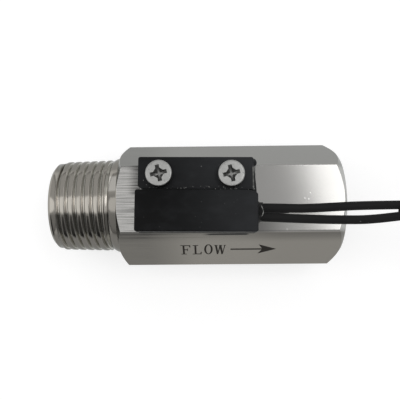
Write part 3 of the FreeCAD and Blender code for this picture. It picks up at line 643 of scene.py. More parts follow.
METALS = {
    "magnet_plating": ((0.60, 0.58, 0.55), 0.20),
    "spring_steel": ((0.52, 0.52, 0.51), 0.22),
    "reed_alloy": ((0.58, 0.56, 0.53), 0.25),
    "copper": ((0.72, 0.38, 0.22), 0.30),
    "tin": ((0.62, 0.62, 0.60), 0.28),
}
FINISHES = {
    "stainless": shade_stainless,
    "marking": shade_marking,
    "black_moulding": shade_moulding,
    "black_resin": shade_resin,
    "screw_plating": shade_plating,
    "wire_skin": shade_skin,
    "sheath_skin": shade_skin,
    "acetal": shade_acetal,
    "capsule_glass": shade_glass,
    "tie_nylon": shade_nylon,
}


def finish_of(name):
    if name in METALS:
        base, rough = METALS[name]
        return finish(name, lambda start: shade_bright(start, base, rough))
    return finish(name, FINISHES[name])


# Pieces

def show(piece, slot, stands_for=(), surface=None):
    """Puts a piece of the switch's body in the scene with the finish of its slot."""
    bpy.context.scene.collection.objects.link(piece)
    piece.data.materials.append(finish_of(surface or slot))
    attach(piece, BODY)
    if stands_for:
        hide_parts(*stands_for)
    return piece


def dress(node, slot):
    """Gives a CAD node its procedural finish."""
    piece = frame["nodes"][node]
    piece.data.materials.clear()
    piece.data.materials.append(finish_of(slot))
    return piece


SOFT_ANGLE = 40
SOFT_SEGMENTS = 2
WELD_REACH = 0.0005 * MM


def soften(piece, width):
    """Rounds the sharp edges of a piece a little."""
    bevel = piece.modifiers.new("rounded edges", "BEVEL")
    bevel.width = width
    bevel.segments = SOFT_SEGMENTS
    bevel.limit_method = "ANGLE"
    bevel.angle_limit = math.radians(SOFT_ANGLE)
    bevel.harden_normals = True


def smooth(mesh, crease=None):
    """Shades a mesh smooth, up to an angle in degrees where one is given."""
    mesh.shade_smooth()
    if crease is not None:
        mesh.set_sharp_from_angle(angle=math.radians(crease))


def piece_from(name, form, crease=None):
    """An object from a bmesh, shaded smooth."""
    mesh = bpy.data.meshes.new(name)
    form.to_mesh(mesh)
    form.free()
    smooth(mesh, crease)
    return bpy.data.objects.new(name, mesh)


def round_steps(count):
    """Angles of a full turn in equal steps."""
    return [math.tau * i / count for i in range(count)]


def skin_rings(rings, closed_rows=False, closed_columns=True, hard=(), form=None):
    """Quads over rings of points, in a new bmesh or in the one that is given, and the rows of its points.
    Rings in hard keep a sharp edge."""
    form = form or bmesh.new()
    rows = [[form.verts.new(point) for point in ring] for ring in rings]
    count = len(rows[0])
    columns = range(count if closed_columns else count - 1)
    pairs = list(zip(rows, rows[1:])) + ([(rows[-1], rows[0])] if closed_rows else [])
    for row, following in pairs:
        for i in columns:
            j = (i + 1) % count
            form.faces.new((row[i], row[j], following[j], following[i]))
    for index in hard:
        for i in columns:
            form.edges.get((rows[index][i], rows[index][(i + 1) % count])).smooth = False
    return form, rows


def closed_form(rings, form=None):
    """Rings of points with a face over either end, in a new bmesh or in the one that is given."""
    form, rows = skin_rings(rings, form=form)
    for end in (rows[0], rows[-1]):
        form.faces.new(end)
    bmesh.ops.recalc_face_normals(form, faces=form.faces)
    return form


def weld(form):
    """Joins points that meet, and turns all faces outwards."""
    bmesh.ops.remove_doubles(form, verts=form.verts, dist=WELD_REACH)
    bmesh.ops.recalc_face_normals(form, faces=form.faces)
    return form


def carve(piece, cutter, operation="DIFFERENCE"):
    """Takes one closed mesh from another, or joins it to it, and throws the tool away."""
    scene = bpy.context.scene
    for thing in (piece, cutter):
        scene.collection.objects.link(thing)
    modifier = piece.modifiers.new("carve", "BOOLEAN")
    modifier.operation = operation
    modifier.solver = "EXACT"
    modifier.object = cutter
    graph = bpy.context.evaluated_depsgraph_get()
    mesh = bpy.data.meshes.new_from_object(piece.evaluated_get(graph))
    piece.modifiers.clear()
    piece.data = mesh
    scene.collection.objects.unlink(piece)
    bpy.data.objects.remove(cutter)
    return piece


CORD_ORDER = 3
CORD_STEPS = 12


def cord_curve(name, points, diameter, resolution=8):
    """A smooth open cord with the points of a route, in millimetres, as its control points. The points carry
    the cord's radius, for a bevel of one metre."""
    curve = bpy.data.curves.new(name, "CURVE")
    curve.dimensions = "3D"
    curve.bevel_depth = 1
    curve.bevel_resolution = resolution
    curve.use_fill_caps = True
    spline = curve.splines.new("NURBS")
    spline.points.add(len(points) - 1)
    for knot, point in zip(spline.points, points):
        knot.co = (*(part * MM for part in point), 1)
        knot.radius = diameter / 2
    spline.order_u = CORD_ORDER
    spline.use_endpoint_u = True
    spline.resolution_u = CORD_STEPS
    return bpy.data.objects.new(name, curve)


# Body

SECTOR = math.radians(60)
COLUMN_STEP = math.radians(2.5)


def corner_middle(body):
    """From the axis to the middle of a corner's rounding."""
    return (FLAT - body.corner) / math.cos(SECTOR / 2)


def corner_spread(body):
    """Half the angle that a rounded corner of the hexagon takes, seen from the axis."""
    out = corner_middle(body) + body.corner * math.cos(SECTOR / 2)
    return math.atan2(body.corner * math.sin(SECTOR / 2), out)


def hexagon_radius(body, turn):
    """Reach of the rounded hexagon at an angle from a corner."""
    off = abs((turn + SECTOR / 2) % SECTOR - SECTOR / 2)
    if off >= corner_spread(body):
        return FLAT / math.cos(SECTOR / 2 - off)
    middle = corner_middle(body)
    return middle * math.cos(off) + math.sqrt(body.corner ** 2 - (middle * math.sin(off)) ** 2)


def column_angles(body):
    """Angles round the axis from 0 to a full turn: an even spread, closer beside the hexagon's corners."""
    spread = corner_spread(body)
    beside = [0, spread / 2, spread, 2 * spread]
    even = [COLUMN_STEP * i for i in range(1, round(SECTOR / COLUMN_STEP))]
    sector = beside + even + [SECTOR - off for off in reversed(beside[1:])]
    return [SECTOR * k + off for k in range(6) for off in sector] + [math.tau]


# Half a turn of each thread, from a crest's middle to a root's middle: turns, and shares of the depth
MALE_TURN = (
    (0, 0), (0.18, 0.004), (0.23, 0.03), (0.27, 0.08), (0.31, 0.17), (0.35, 0.30), (0.39, 0.47),
    (0.43, 0.68), (0.47, 0.90), (0.5, 1),
)
FEMALE_TURN = ((0, 0), (0.12, 0), (0.17, 0.10), (0.42, 0.90), (0.47, 1), (0.5, 1))


def groove_share(half_turn, turns):
    """Depth of a thread at a count of turns past its crest: 0 on the crest and 1 at the root."""
    off = 0.5 - abs(turns % 1 - 0.5)
    for (near_off, shallow), (far_off, deep) in zip(half_turn, half_turn[1:]):
        if off <= far_off:
            return shallow + (deep - shallow) * (off - near_off) / (far_off - near_off)


def clamp(value, low, high):
    return max(low, min(high, value))


LEAD_IN_SLOPE = 1.5
FEMALE_DEPTH = 1.162 * MM
MOUTH_RADIUS = 10.7 * MM
SOCKET_START = 33.8 * MM


def male_radius(body, x, turns):
    """Radius of the male thread at a place, at a count of turns past its crest."""
    crest = MALE_RADIUS - body.crest_wear + (x - body.gauge_plane) * body.taper / 2
    lead_in = body.pilot_radius + (x - BODY_LOW.x - body.pilot_length) * LEAD_IN_SLOPE
    return min(crest - body.groove * groove_share(MALE_TURN, turns), lead_in)


def female_radius(body, x, turns):
    """Radius of the female thread at a place, at a count of turns past its crest."""
    run_out = clamp((x - SOCKET_START) / body.pitch, 0, 1)
    mouth = MOUTH_RADIUS - (BODY_HIGH.x - x)
    return max(FEMALE_RADIUS + FEMALE_DEPTH * groove_share(FEMALE_TURN, turns) * run_out, mouth)


def thread_rings(body, angles, start, end, origin, half_turn, radius):
    """Rings between two planes whose points follow the helix of a right-handed thread. A crest passes the
    rear side at the origin."""
    places = [off for off, _ in half_turn] + [1 - off for off, _ in reversed(half_turn[1:-1])]
    first = math.floor((start - origin) / body.pitch) - 1
    last = math.ceil((end - origin) / body.pitch)
    rings = []
    for place in (turn + part for turn in range(first, last + 1) for part in places):
        ring = []
        for a in angles:
            x = clamp(origin + (place + a / math.tau) * body.pitch, start, end)
            ring.append((x, radius(body, x, (x - origin) / body.pitch - a / math.tau)))
        rings.append(ring)
    return rings


EDGE_STEPS = (1, 0.67, 0.33, 0)
EDGE_SUPPORT = 0.18 * MM
# The most that an edge's rounding and its support take up, as shares of the chamfer's width there
ROUNDING_MOST = 1.6
SUPPORT_MOST = 0.86


def end_rings(body, angles, radius, slope):
    """Rings of one chamfered end of the hexagon, from its end face inwards, as depths and radii."""
    cone, bend = math.tan(slope), math.radians(90) - slope
    columns = []
    for a in angles:
        reach = hexagon_radius(body, a)
        room = reach - radius
        edge = min(body.edge, ROUNDING_MOST * room)
        keep = min(EDGE_SUPPORT, SUPPORT_MOST * room)
        depth = room * cone
        flat_start = depth + edge * math.tan(bend / 2)
        column = [(0, radius), (depth - keep * cone, reach - keep)]
        for step in EDGE_STEPS:
            side, drop = math.sin(bend * step), 1 - math.cos(bend * step)
            column.append((flat_start - edge * side, reach - edge * drop))
        columns.append(column + [(flat_start + EDGE_SUPPORT, reach)])
    return [list(ring) for ring in zip(*columns)]


# The stepped bore from the female thread back to the inlet, as places along the axis and radii in millimetres
BORE = [
    (33.8, 8.8), (32.6, 8.8), (32.6, 9.3), (31.5, 9.3), (31.5, 8.8), (29.0, 8.8), (29.0, 8.0),
    (5.5, 8.0), (4.0, 6.5), (-14.6, 6.5), (-15.2, 7.1),
]

# Relief groove behind the male thread and the rising neck up to the hexagon, in the same way
NECK = [
    (-2.74, 9.80), (-2.60, 9.82), (-2.23, 10.30), (-1.75, 10.58), (-1.30, 10.80), (-0.40, 11.02),
    (-0.20, 11.10),
]
SHOULDER_RADIUS = 11.15 * MM


def make_body():
    """Skin of the body, ring by ring: male thread, neck, hexagon, female thread and bore."""
    body = settings().body
    angles = column_angles(body)
    rings, hard = [], []

    def ring(x, radius, sharp=True):
        if sharp:
            hard.append(len(rings))
        rings.append([(x, radius)] * len(angles))

    pilot = BODY_LOW.x + body.pilot_length
    ring(BODY_LOW.x, body.tip_radius)
    ring(BODY_LOW.x + body.pilot_radius - body.tip_radius, body.pilot_radius)
    ring(pilot, body.pilot_radius)
    rings += thread_rings(body, angles, pilot, body.thread_end, body.crest_place, MALE_TURN, male_radius)
    for index, (x, radius) in enumerate(NECK):
        ring(x * MM, radius * MM, sharp=index == 0)
    ring(body.inlet_face, SHOULDER_RADIUS)
    inlet = end_rings(body, angles, body.inlet_radius, body.inlet_slope)
    outlet = end_rings(body, angles, body.outlet_radius, body.outlet_slope)
    hard.append(len(rings))
    rings += [[(body.inlet_face + depth, reach) for depth, reach in points] for points in inlet]
    rings += [[(body.outlet_face - depth, reach) for depth, reach in points] for points in reversed(outlet)]
    hard.append(len(rings) - 1)
    ring(body.outlet_face, MOUTH_RADIUS + body.outlet_face - BODY_HIGH.x)
    rings += reversed(
        thread_rings(body, angles, SOCKET_START, BODY_HIGH.x, SOCKET_START, FEMALE_TURN, female_radius)
    )
    for x, radius in BORE:
        ring(x * MM, radius * MM)

    points = [
        [(x, r * math.cos(a), r * math.sin(a)) for (x, r), a in zip(points, angles)] for points in rings
    ]
    form, _ = skin_rings(points, closed_rows=True, closed_columns=False, hard=hard)
    return show(piece_from("hexagon_body", weld(form)), "stainless", ["hex_body"])


# Flow marking on the front flat, as outlines in millimetres: places along the flow and up the slope
FRONT_SLANT = math.radians(30)
LETTER_HEIGHT = 4.1
LETTER_SHARE = 0.93
MARKING_DROP = 0.2
MARKING_LIFT = 0.012 * MM
MARKING_SINK = 0.03 * MM
LETTER_F = [
    (0.1, 0), (1.32, 0), (1.32, 0.25), (0.91, 0.25), (0.91, 1.95), (1.45, 1.95), (1.45, 1.6), (1.62, 1.6),
    (1.62, 2.65), (1.45, 2.65), (1.45, 2.3), (0.91, 2.3), (0.91, 3.8), (1.86, 3.8), (2.01, 3.1), (2.21, 3.1),
    (2.16, 4.1), (0.05, 4.1), (0.05, 3.85), (0.49, 3.85), (0.49, 0.25), (0.1, 0.25),
]
LETTER_L = [
    (0.0, 0), (1.95, 0), (2.05, 1.1), (1.87, 1.1), (1.68, 0.30), (0.88, 0.30), (0.88, 3.85), (1.3, 3.85),
    (1.3, 4.1), (0.1, 4.1), (0.1, 3.85), (0.46, 3.85), (0.46, 0.25), (0.0, 0.25),
]
LETTER_W = [
    (-0.1, 4.1), (-0.1, 3.9), (0.1, 3.9), (0.55, 0), (0.85, 0), (1.2, 2.7), (1.55, 0), (1.85, 0), (2.32, 3.9),
    (2.5, 3.9), (2.5, 4.1), (1.95, 4.1), (1.95, 3.9), (2.12, 3.9), (1.82, 1.3), (1.5, 3.9), (1.65, 3.9),
    (1.65, 4.1), (0.95, 4.1), (0.95, 3.9), (1.06, 3.9), (0.82, 1.3), (0.53, 3.9), (0.7, 3.9), (0.7, 4.1),
]
ARROW = [(24.0, -0.25), (30.8, -0.25), (30.0, -1.9), (33.9, 0), (30.0, 1.9), (30.8, 0.25), (24.0, 0.25)]
LETTERS = [(13.1, LETTER_F), (15.7, LETTER_L), (20.5, LETTER_W)]
OVAL_MIDDLE = 19.2
OVAL_OUTER = (0.93, 2.08)
OVAL_INNER = (0.50, 1.78)
OVAL_POINTS = 32


def on_front_flat(along, up, lift):
    """A point over the slanted flat in front of the module, from places on it in millimetres."""
    out = Vector((0, -math.cos(FRONT_SLANT), math.sin(FRONT_SLANT)))
    slope = Vector((0, math.sin(FRONT_SLANT), math.cos(FRONT_SLANT)))
    return out * (FLAT + lift) + slope * ((up - MARKING_DROP) * MM) + Vector((along * MM, 0, 0))


def oval(radii):
    """Outline of the round letter's rim."""
    return [
        (OVAL_MIDDLE + radii[0] * math.cos(a), radii[1] * math.sin(a)) for a in round_steps(OVAL_POINTS)
    ]


def make_marking():
    """Letters and arrow as one thin piece, sunk a little into the flat."""
    form = bmesh.new()

    def points_of(outline):
        return [form.verts.new(on_front_flat(x, y, MARKING_LIFT)) for x, y in outline]

    outlines = []
    for left, letter in LETTERS:
        outlines.append([(left + x, y * LETTER_SHARE - LETTER_HEIGHT / 2) for x, y in letter])
    faces = [form.faces.new(points_of(outline)) for outline in outlines + [ARROW]]
    inner, outer = points_of(oval(OVAL_INNER)), points_of(oval(OVAL_OUTER))
    for i in range(OVAL_POINTS):
        j = (i + 1) % OVAL_POINTS
        faces.append(form.faces.new((inner[i], outer[i], outer[j], inner[j])))
    bmesh.ops.recalc_face_normals(form, faces=form.faces)
    sunk = bmesh.ops.extrude_face_region(form, geom=faces)["geom"]
    into = on_front_flat(0, 0, -MARKING_SINK) - on_front_flat(0, 0, MARKING_LIFT)
    bmesh.ops.translate(form, vec=into, verts=[part for part in sunk if isinstance(part, bmesh.types.BMVert)])
    bmesh.ops.triangulate(form, faces=[face for face in form.faces if len(face.verts) > 4])
    bmesh.ops.recalc_face_normals(form, faces=form.faces)
    return show(piece_from("flow_marking", form, crease=30), "stainless", surface="marking")


# Reed module

UPRIGHT_CORNER = 0.42 * MM
TOP_ROUND = 0.28 * MM
CAVITY_DEPTH = 0.5 * MM
# How the block's rear edge is drawn in by the wires, and over what length
DRAWN_IN = 0.58 * MM
DRAWN_RUN = 2.4 * MM
FLANGE_CORNER = 0.4 * MM
FLANGE_FOOT = 0.08 * MM
FLANGE_ROUND = 0.16 * MM
FLANGE_INSET = 0.04 * MM
FLANGE_LIFT = 0.05 * MM
DRAFT_REACH = 0.1 * MM
# How far a cutting tool stands out of the piece
TOOL_CLEAR = 1 * MM
MODULE_DROP = 0.05 * MM
# Notch at the inlet end of the parting groove, in millimetres from the block's rear corner
NOTCH = ((-0.5, 0.0), (-0.5, 1.25), (0.05, 1.20), (0.95, 0.62), (0.7, 0.0))
# Ear at the flange's foot, as radii and heights in millimetres
EAR_MIDDLE = (28.38, 7.46)
EAR_PROFILE = ((0.93, 12.04), (0.94, 12.6), (0.89, 12.85), (0.75, 13.0))
EAR_POINTS = 32
SAME_PLACE = 0.01 * MM


def box_form(low, high):
    """A plain box between two corners."""
    form = bmesh.new()
    bmesh.ops.create_cube(form, size=1)
    low, high = Vector(low), Vector(high)
    bmesh.ops.scale(form, vec=high - low, verts=form.verts)
    bmesh.ops.translate(form, vec=(low + high) / 2, verts=form.verts)
    return form


def round_off(form, wanted, radius, segments):
    """Rounds the edges of a form whose two ends pass a test."""
    edges = [edge for edge in form.edges if wanted(*(vert.co for vert in edge.verts))]
    bmesh.ops.bevel(
        form, geom=edges, offset=radius, segments=segments, profile=0.5, affect="EDGES", clamp_overlap=True
    )


def near(a, b):
    return abs(a - b) < SAME_PLACE


def level_form(outline, start, end):
    """A closed form that draws an outline across the flow out along it."""
    return closed_form([[(x, y, z) for y, z in outline] for x in (start, end)])


def upright_form(outline, low, high):
    """A closed form that draws a level outline upwards."""
    return closed_form([[(x, y, z) for x, y in outline] for z in (low, high)])


def upright(x, y):
    """A test for edges that stand at a place."""
    return lambda a, b: all(near(p.x, x) and near(p.y, y) for p in (a, b))


def level_with(z):
    """A test for edges that lie at a height."""
    return lambda a, b: near(a.z, z) and near(b.z, z)


def make_block(module, back):
    """Raised block with the resin cavity in its open end. Its rear edge is drawn in a little by the wires."""
    low, high = HOUSING_LOW, HOUSING_HIGH
    corners = [
        (low.x, low.y), (high.x, low.y), (high.x, back - DRAWN_IN), (high.x - DRAWN_RUN, back), (low.x, back),
    ]
    block = upright_form(corners, low.z, high.z)
    for x, y in corners:
        round_off(block, upright(x, y), UPRIGHT_CORNER, 5)
    round_off(block, level_with(high.z), TOP_ROUND, 4)
    piece = piece_from("reed_module_housing", block)
    inner_low = (high.x - CAVITY_DEPTH, low.y + module.wall, low.z + module.wall)
    inner_high = (high.x + TOOL_CLEAR, back - module.wall, high.z - module.wall)
    return carve(piece, piece_from("cavity_tool", box_form(inner_low, inner_high)))


def make_flange(module, back):
    """Screw flange with its drafted outlet end and the floor of the parting groove."""
    foot, rear = HOUSING_LOW.z + FLANGE_LIFT, HOUSING_HIGH.y
    level = HOUSING_LOW.z + module.flange_height
    start, end = HOUSING_LOW.x + FLANGE_INSET, HOUSING_HIGH.x + FLANGE_FOOT
    sink, groove_end = level - module.parting_depth, back + module.parting
    inside = back - module.wall / 2
    flange = level_form([
        (inside, foot), (rear, foot), (rear, level), (groove_end, level), (groove_end, sink), (inside, sink),
    ], start, end)
    round_off(flange, upright(end, rear), FLANGE_CORNER, 8)
    round_off(flange, upright(start, rear), UPRIGHT_CORNER, 5)
    for vert in flange.verts:
        if near(vert.co.z, level) and vert.co.x > end - FLANGE_CORNER - DRAFT_REACH:
            vert.co.x -= module.flange_draft
    round_off(flange, level_with(level), FLANGE_ROUND, 3)
    return piece_from("flange", flange)


def make_ear():
    """Lump at the foot of the flange's outlet corner, where the mould was filled."""
    left, back = EAR_MIDDLE
    steps = round_steps(EAR_POINTS)
    rings = [
        [((left + r * math.cos(a)) * MM, (back + r * math.sin(a)) * MM, z * MM) for a in steps]
        for r, z in EAR_PROFILE
    ]
    return piece_from("ear", closed_form(rings))


def askew():
    """The small turn of the whole module on its flat, and its place there."""
    middle = Vector(((HOUSING_LOW.x + HOUSING_HIGH.x) / 2, 0, 0))
    turn = Matrix.Rotation(settings().module.askew, 4, "Z")
    return Matrix.Translation(middle - Vector((0, MODULE_DROP, 0))) @ turn @ Matrix.Translation(-middle)


def make_housing():
    """Raised block and lower screw flange in one moulding, with its resin cavity open at the wires. The
    parting groove runs out in a notch at the inlet end."""
    module = settings().module
    back = HOUSING_LOW.y + module.block_depth
    piece = make_block(module, back)
    for part in (make_flange(module, back), make_ear()):
        carve(piece, part, "UNION")
    corners = [(HOUSING_LOW.x + x * MM, back + y * MM) for x, y in NOTCH]
    notch = upright_form(corners, HOUSING_LOW.z - TOOL_CLEAR, HOUSING_HIGH.z + TOOL_CLEAR)
    carve(piece, piece_from("notch_tool", notch))
    piece.data.transform(askew())
    smooth(piece.data, crease=32)
    return show(piece, "black_moulding", ["reed_housing"])


# Moulding flash, in millimetres: its path from above, its mean thickness and how deep it lies
FLASH_PATH = [
    (28.50, 1.7), (28.48, 2.6), (28.53, 3.5), (28.47, 4.6), (28.52, 5.6), (28.45, 6.5), (28.30, 7.2),
]
FLASH_THICK = 0.14
FLASH_SINK = 0.06
FLASH_LEAST, FLASH_SWELL = 0.7, 0.9


def make_flash():
    """Thin uneven rim of moulding flash along the flange's outlet end."""
    level = (HOUSING_LOW.z + settings().module.flange_height) / MM - FLASH_SINK
    points = [(x, y, level) for x, y in FLASH_PATH]
    flash = cord_curve("moulding_flash", points, FLASH_THICK * MM, resolution=3)
    for index, point in enumerate(flash.data.splines[0].points):
        point.radius *= FLASH_LEAST + FLASH_SWELL * abs(noise.noise((index * 1.7, 0.4, 0.2)))
    flash.data.transform(askew())
    return show(flash, "black_moulding")


COLLAR_RINGS = [
    # place, half width, half height, unevenness
    (28.55, 2.95, 2.20, 0.0), (28.92, 2.95, 2.20, 0.05), (29.02, 2.58, 1.90, 0.2), (29.20, 2.24, 1.55, 0.5),
    (29.50, 1.98, 1.25, 0.8), (29.82, 1.86, 1.07, 1.0), (30.02, 1.84, 1.02, 1.0), (30.12, 1.78, 0.97, 0.8),
    (30.10, 1.62, 0.84, 0.4),
]
COLLAR_MIDDLE = (-3.26, 15.1)
COLLAR_POINTS = 40
COLLAR_LUMP = 0.14
COLLAR_TONGUE = 0.35
TONGUE_FROM = 0.5
# Powers that square the collar's oval, at the even rings by the housing and at the uneven ones
SQUARE, ROUNDED = 0.62, 0.85
EVEN_UP_TO = 0.3
WEB = [(29.8, 0.34, 0.30), (31.0, 0.30, 0.22), (33.0, 0.34, 0.18), (34.4, 0.36, 0.14), (35.4, 0.30, 0.08)]
WEB_SIDES = ((1, 1), (-1, 1), (-1, -1), (1, -1))


def resin_point(x, y, z):
    """A point from a place along the flow and places from the collar's middle, in millimetres."""
    return x * MM, (COLLAR_MIDDLE[0] + y) * MM, (COLLAR_MIDDLE[1] + z) * MM


def collar_ring(x, wide, tall, lump):
    """A ring of the collar: a squared oval with lumps, and with a tongue between the wires."""
    power = SQUARE if lump < EVEN_UP_TO else ROUNDED
    ring = []
    for a in round_steps(COLLAR_POINTS):
        y, z = (math.copysign(abs(part) ** power, part) for part in (math.cos(a), math.sin(a)))
        bulge = COLLAR_LUMP * lump * noise.noise((x * 1.1, y * 2.4, z * 1.6))
        tongue = COLLAR_TONGUE * max(0, lump - TONGUE_FROM) * (1 - y * y)
        ring.append(resin_point(x + bulge + tongue, y * wide * (1 + bulge), z * tall * (1 + bulge)))
    return ring


def make_resin():
    """Resin face in the open end of the housing, drawn out to an uneven collar round the wires and to a web
    that runs on between them."""
    form = closed_form([collar_ring(*ring) for ring in COLLAR_RINGS])
    web = [[resin_point(x, sy * wide, sz * tall) for sy, sz in WEB_SIDES] for x, wide, tall in WEB]
    closed_form(web, form)
    return show(piece_from("potting_collar", form, crease=60), "black_resin", ["potting"])


# Pan head from the middle of its face to its underside, as shares of its radius and height
HEAD_PROFILE = [
    (0.60, 1.0), (0.86, 0.998), (0.93, 0.99), (0.965, 0.965), (0.99, 0.92), (1.0, 0.86), (1.0, 0.05),
    (0.97, 0),
]
HEAD_POINTS = 72
SHANK_RADIUS = 1.5 * MM
SHANK_LEAD = 0.3 * MM
RECESS_HEART = 1.02 * MM
RECESS_LEVELS = (
    # millimetres over the head's face; then reach and width of the arms and reach of the heart, as shares
    (0.40, 1.14, 1.20, 1.12), (-0.55, 0.80, 0.85, 0.84), (-0.95, 0.52, 0.70, 0.60), (-1.20, 0.30, 0.45, 0.34),
)


def recess_tool():
    """The cross recess: four arms round a four-sided heart, which narrow downwards."""
    module = settings().module
    rings = []
    for height, long, wide, heart in RECESS_LEVELS:
        half = wide * module.recess_arm / 2
        inner = max(heart * RECESS_HEART * math.sqrt(2) - half, half)
        reach = max(long * module.recess / 2, inner)
        ring = []
        for quarter in round_steps(4):
            turn = Matrix.Rotation(module.recess_turn + quarter, 2)
            for point in ((inner, -half), (reach, -half), (reach, half), (inner, half)):
                ring.append((*(turn @ Vector(point)), SCREWS_HIGH.z + height * MM))
        rings.append(ring)
    return piece_from("recess_tool", closed_form(rings))


def make_screw(name, x):
    """Pan-head screw with a tapered cross recess and its shank."""
    module = settings().module
    y = (SCREWS_LOW.y + SCREWS_HIGH.y) / 2
    under, tip = SCREWS_HIGH.z - module.head_height, SCREWS_LOW.z
    profile = [(r * module.head / 2, under + h * module.head_height) for r, h in HEAD_PROFILE]
    profile += [(SHANK_RADIUS, under), (SHANK_RADIUS, tip + SHANK_LEAD), (SHANK_RADIUS - SHANK_LEAD, tip)]
    steps = round_steps(HEAD_POINTS)
    rings = [[(r * math.cos(a), r * math.sin(a), z) for a in steps] for r, z in profile]
    screw = carve(piece_from(name, closed_form(rings)), recess_tool())
    screw.data.transform(askew() @ Matrix.Translation((x, y, 0)))
    smooth(screw.data, crease=35)
    return show(screw, "screw_plating", ["module_screws"])


# Wires and cable

FOLD_POINTS = 8
RUN_POINTS = 3
SHORTEST_CORD = 0.03
TIE_EDGE = 0.2 * MM


def hank_points():
    """Points of the folded cable after its run: along the front, round the far fold, back along the rear and
    down a layer round the near fold, until it ends on the lowest rear run."""
    leads = settings().leads
    sheath, radius = leads.sheath / MM, leads.fold_radius / MM
    near_fold, run = leads.fold_first / MM, leads.run / MM
    runs = [near_fold + run * (i + 0.5) / RUN_POINTS for i in range(RUN_POINTS)]
    parts = [(i + 0.5) / FOLD_POINTS for i in range(FOLD_POINTS)]
    reach = radius / math.cos(math.pi / FOLD_POINTS / 2)
    start, _, top = CABLE_RUN[-1]
    points = []
    for layer in range(leads.layers):
        z = top - sheath * layer
        points += [(x, -radius, z) for x in runs if layer or x > start + sheath]
        for part in parts:
            a = math.pi * (part - 0.5)
            points.append((near_fold + run + reach * math.cos(a), reach * math.sin(a), z))
        if layer == leads.layers - 1:
            break
        points += [(x, radius, z) for x in reversed(runs)]
        for part in parts:
            a = math.pi * (part + 0.5)
            drop = part * part * (3 - 2 * part)
            points.append((near_fold + reach * math.cos(a), reach * math.sin(a), z - sheath * drop))
    return points + [(HANK_END, radius, top - sheath * (leads.layers - 1))]


def spline_length(piece):
    """Length of a cord's own line, without its thickness."""
    thick = piece.data.bevel_depth
    piece.data.bevel_depth = 0
    line = bpy.data.meshes.new_from_object(piece)
    piece.data.bevel_depth = thick
    places = [vertex.co for vertex in line.vertices]
    total = sum((places[a] - places[b]).length for a, b in (edge.vertices for edge in line.edges))
    bpy.data.meshes.remove(line)
    return total


TIN_STRANDS = 7
TIN_STEPS = 24
TIN_POINTS = 42
TIN_TWIST = 2.2 / MM
TIN_CORE = 0.82


def make_tinned_end(name, route):
    """Twisted strands, drawn together by solder and cut off at the end."""
    leads = settings().leads
    start, before = Vector(route[-1]) * MM, Vector(route[-2]) * MM
    turn = (start - before).to_track_quat("X", "Z")
    rings = []
    for step in range(TIN_STEPS + 1):
        along = leads.tinned * step / TIN_STEPS
        ring = []
        for a in round_steps(TIN_POINTS):
            wave = abs(math.cos((a * TIN_STRANDS - along * TIN_TWIST) / 2))
            radius = leads.strand / 2 * (TIN_CORE + (1 - TIN_CORE) * wave ** 0.5)
            ring.append(start + turn @ Vector((along, radius * math.cos(a), radius * math.sin(a))))
        rings.append(ring)
    return show(piece_from(name, closed_form(rings), crease=50), "tin", ["tinned_ends"])


def make_leads():
    """Two wires, the sheath with its tied hank, and two tails with bare ends."""
    leads = settings().leads
    for name, route in (("wire_front_line", WIRE_FRONT), ("wire_rear_line", WIRE_REAR)):
        wire = show(cord_curve(name, route, leads.wire), "wire_skin", [name.removesuffix("_line")])
        wire.visible_glossy = False
        wire.visible_shadow = False
        max(SHORTEST_CORD, spline_length(wire))
    sheath = cord_curve("cable_sheath", CABLE_RUN + hank_points(), leads.sheath)
    show(sheath, "sheath_skin", ["cable_run", "cable_hank"])
    tie = dress("hank_tie", "tie_nylon")
    soften(tie, TIE_EDGE)
    spline_length(sheath)
    for name, route in (("tail_front", TAIL_FRONT), ("tail_rear", TAIL_REAR)):
        tail = show(cord_curve(f"{name}_line", route, leads.wire), "wire_skin", [name])
        end = make_tinned_end(f"{name}_end", route)
        max(SHORTEST_CORD, spline_length(tail))


# Valve and reed contact

COIL_STEPS = 28
COIL_POINTS = 12
CLOSED_RISE = 1.05
VALVE_EDGE = 0.12 * MM


def make_spring():
    """Compression spring with a closed turn at either end, made at the length of the CAD node."""
    valve = settings().valve
    wire, mean = valve.spring_wire / 2, valve.spring_mean / 2
    closed = valve.spring_wire * CLOSED_RISE
    first, last = SPRING_LOW.x + wire, SPRING_HIGH.x - wire
    pitch = (last - first - 2 * closed) / valve.spring_turns
    rings = []
    for step in range((valve.spring_turns + 2) * COIL_STEPS + 1):
        turns = step / COIL_STEPS
        open_part = clamp(turns - 1, 0, valve.spring_turns)
        x = first + closed * (turns - open_part) + pitch * open_part
        a = math.tau * turns
        ring = []
        for b in round_steps(COIL_POINTS):
            radius = mean + wire * math.cos(b)
            ring.append((x + wire * math.sin(b), -radius * math.sin(a), radius * math.cos(a)))
        rings.append(ring)
    spring = piece_from("valve_spring", closed_form(rings), crease=60)
    show(spring, "spring_steel", ["return_spring"])
    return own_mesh(spring)


VALVE_NODES = {
    "piston": "acetal", "piston_magnet": "magnet_plating", "magnet_cap": "acetal",
    "spring_retainer": "acetal", "retaining_ring": "spring_steel",
}
REED_NODES = {
    "reed_glass": "capsule_glass", "reed_blade_outlet": "reed_alloy", "reed_blade_inlet": "reed_alloy",
    "conductor_ends": "copper", "inner_wires": "wire_skin", "solder_joints": "tin",
}


# Stage

# The camera's place in millimetres, its turns in degrees and its own sizes
CAMERA_PLACE = (18.916, -12.361, 110.663)
CAMERA_TURNS = (("Y", 0.8044), ("X", 6.9248), ("Z", -0.4656))
SENSOR_WIDTH = 36
CLIP_START = 0.005
FLOOR_REACH = 4.0
FLOOR_SIDES = ((-1, -1), (1, -1), (1, 1), (-1, 1))
# The dark card's plane across Y, the height from which it gets paler, its top and its corners
CARD_PLACE = -0.35
CARD_PALER = 0.30
CARD_TOP = 0.62
CARD_CORNERS = ((-0.20, -0.012), (0.00, -0.012), (-0.08, CARD_TOP), (-0.38, CARD_TOP))
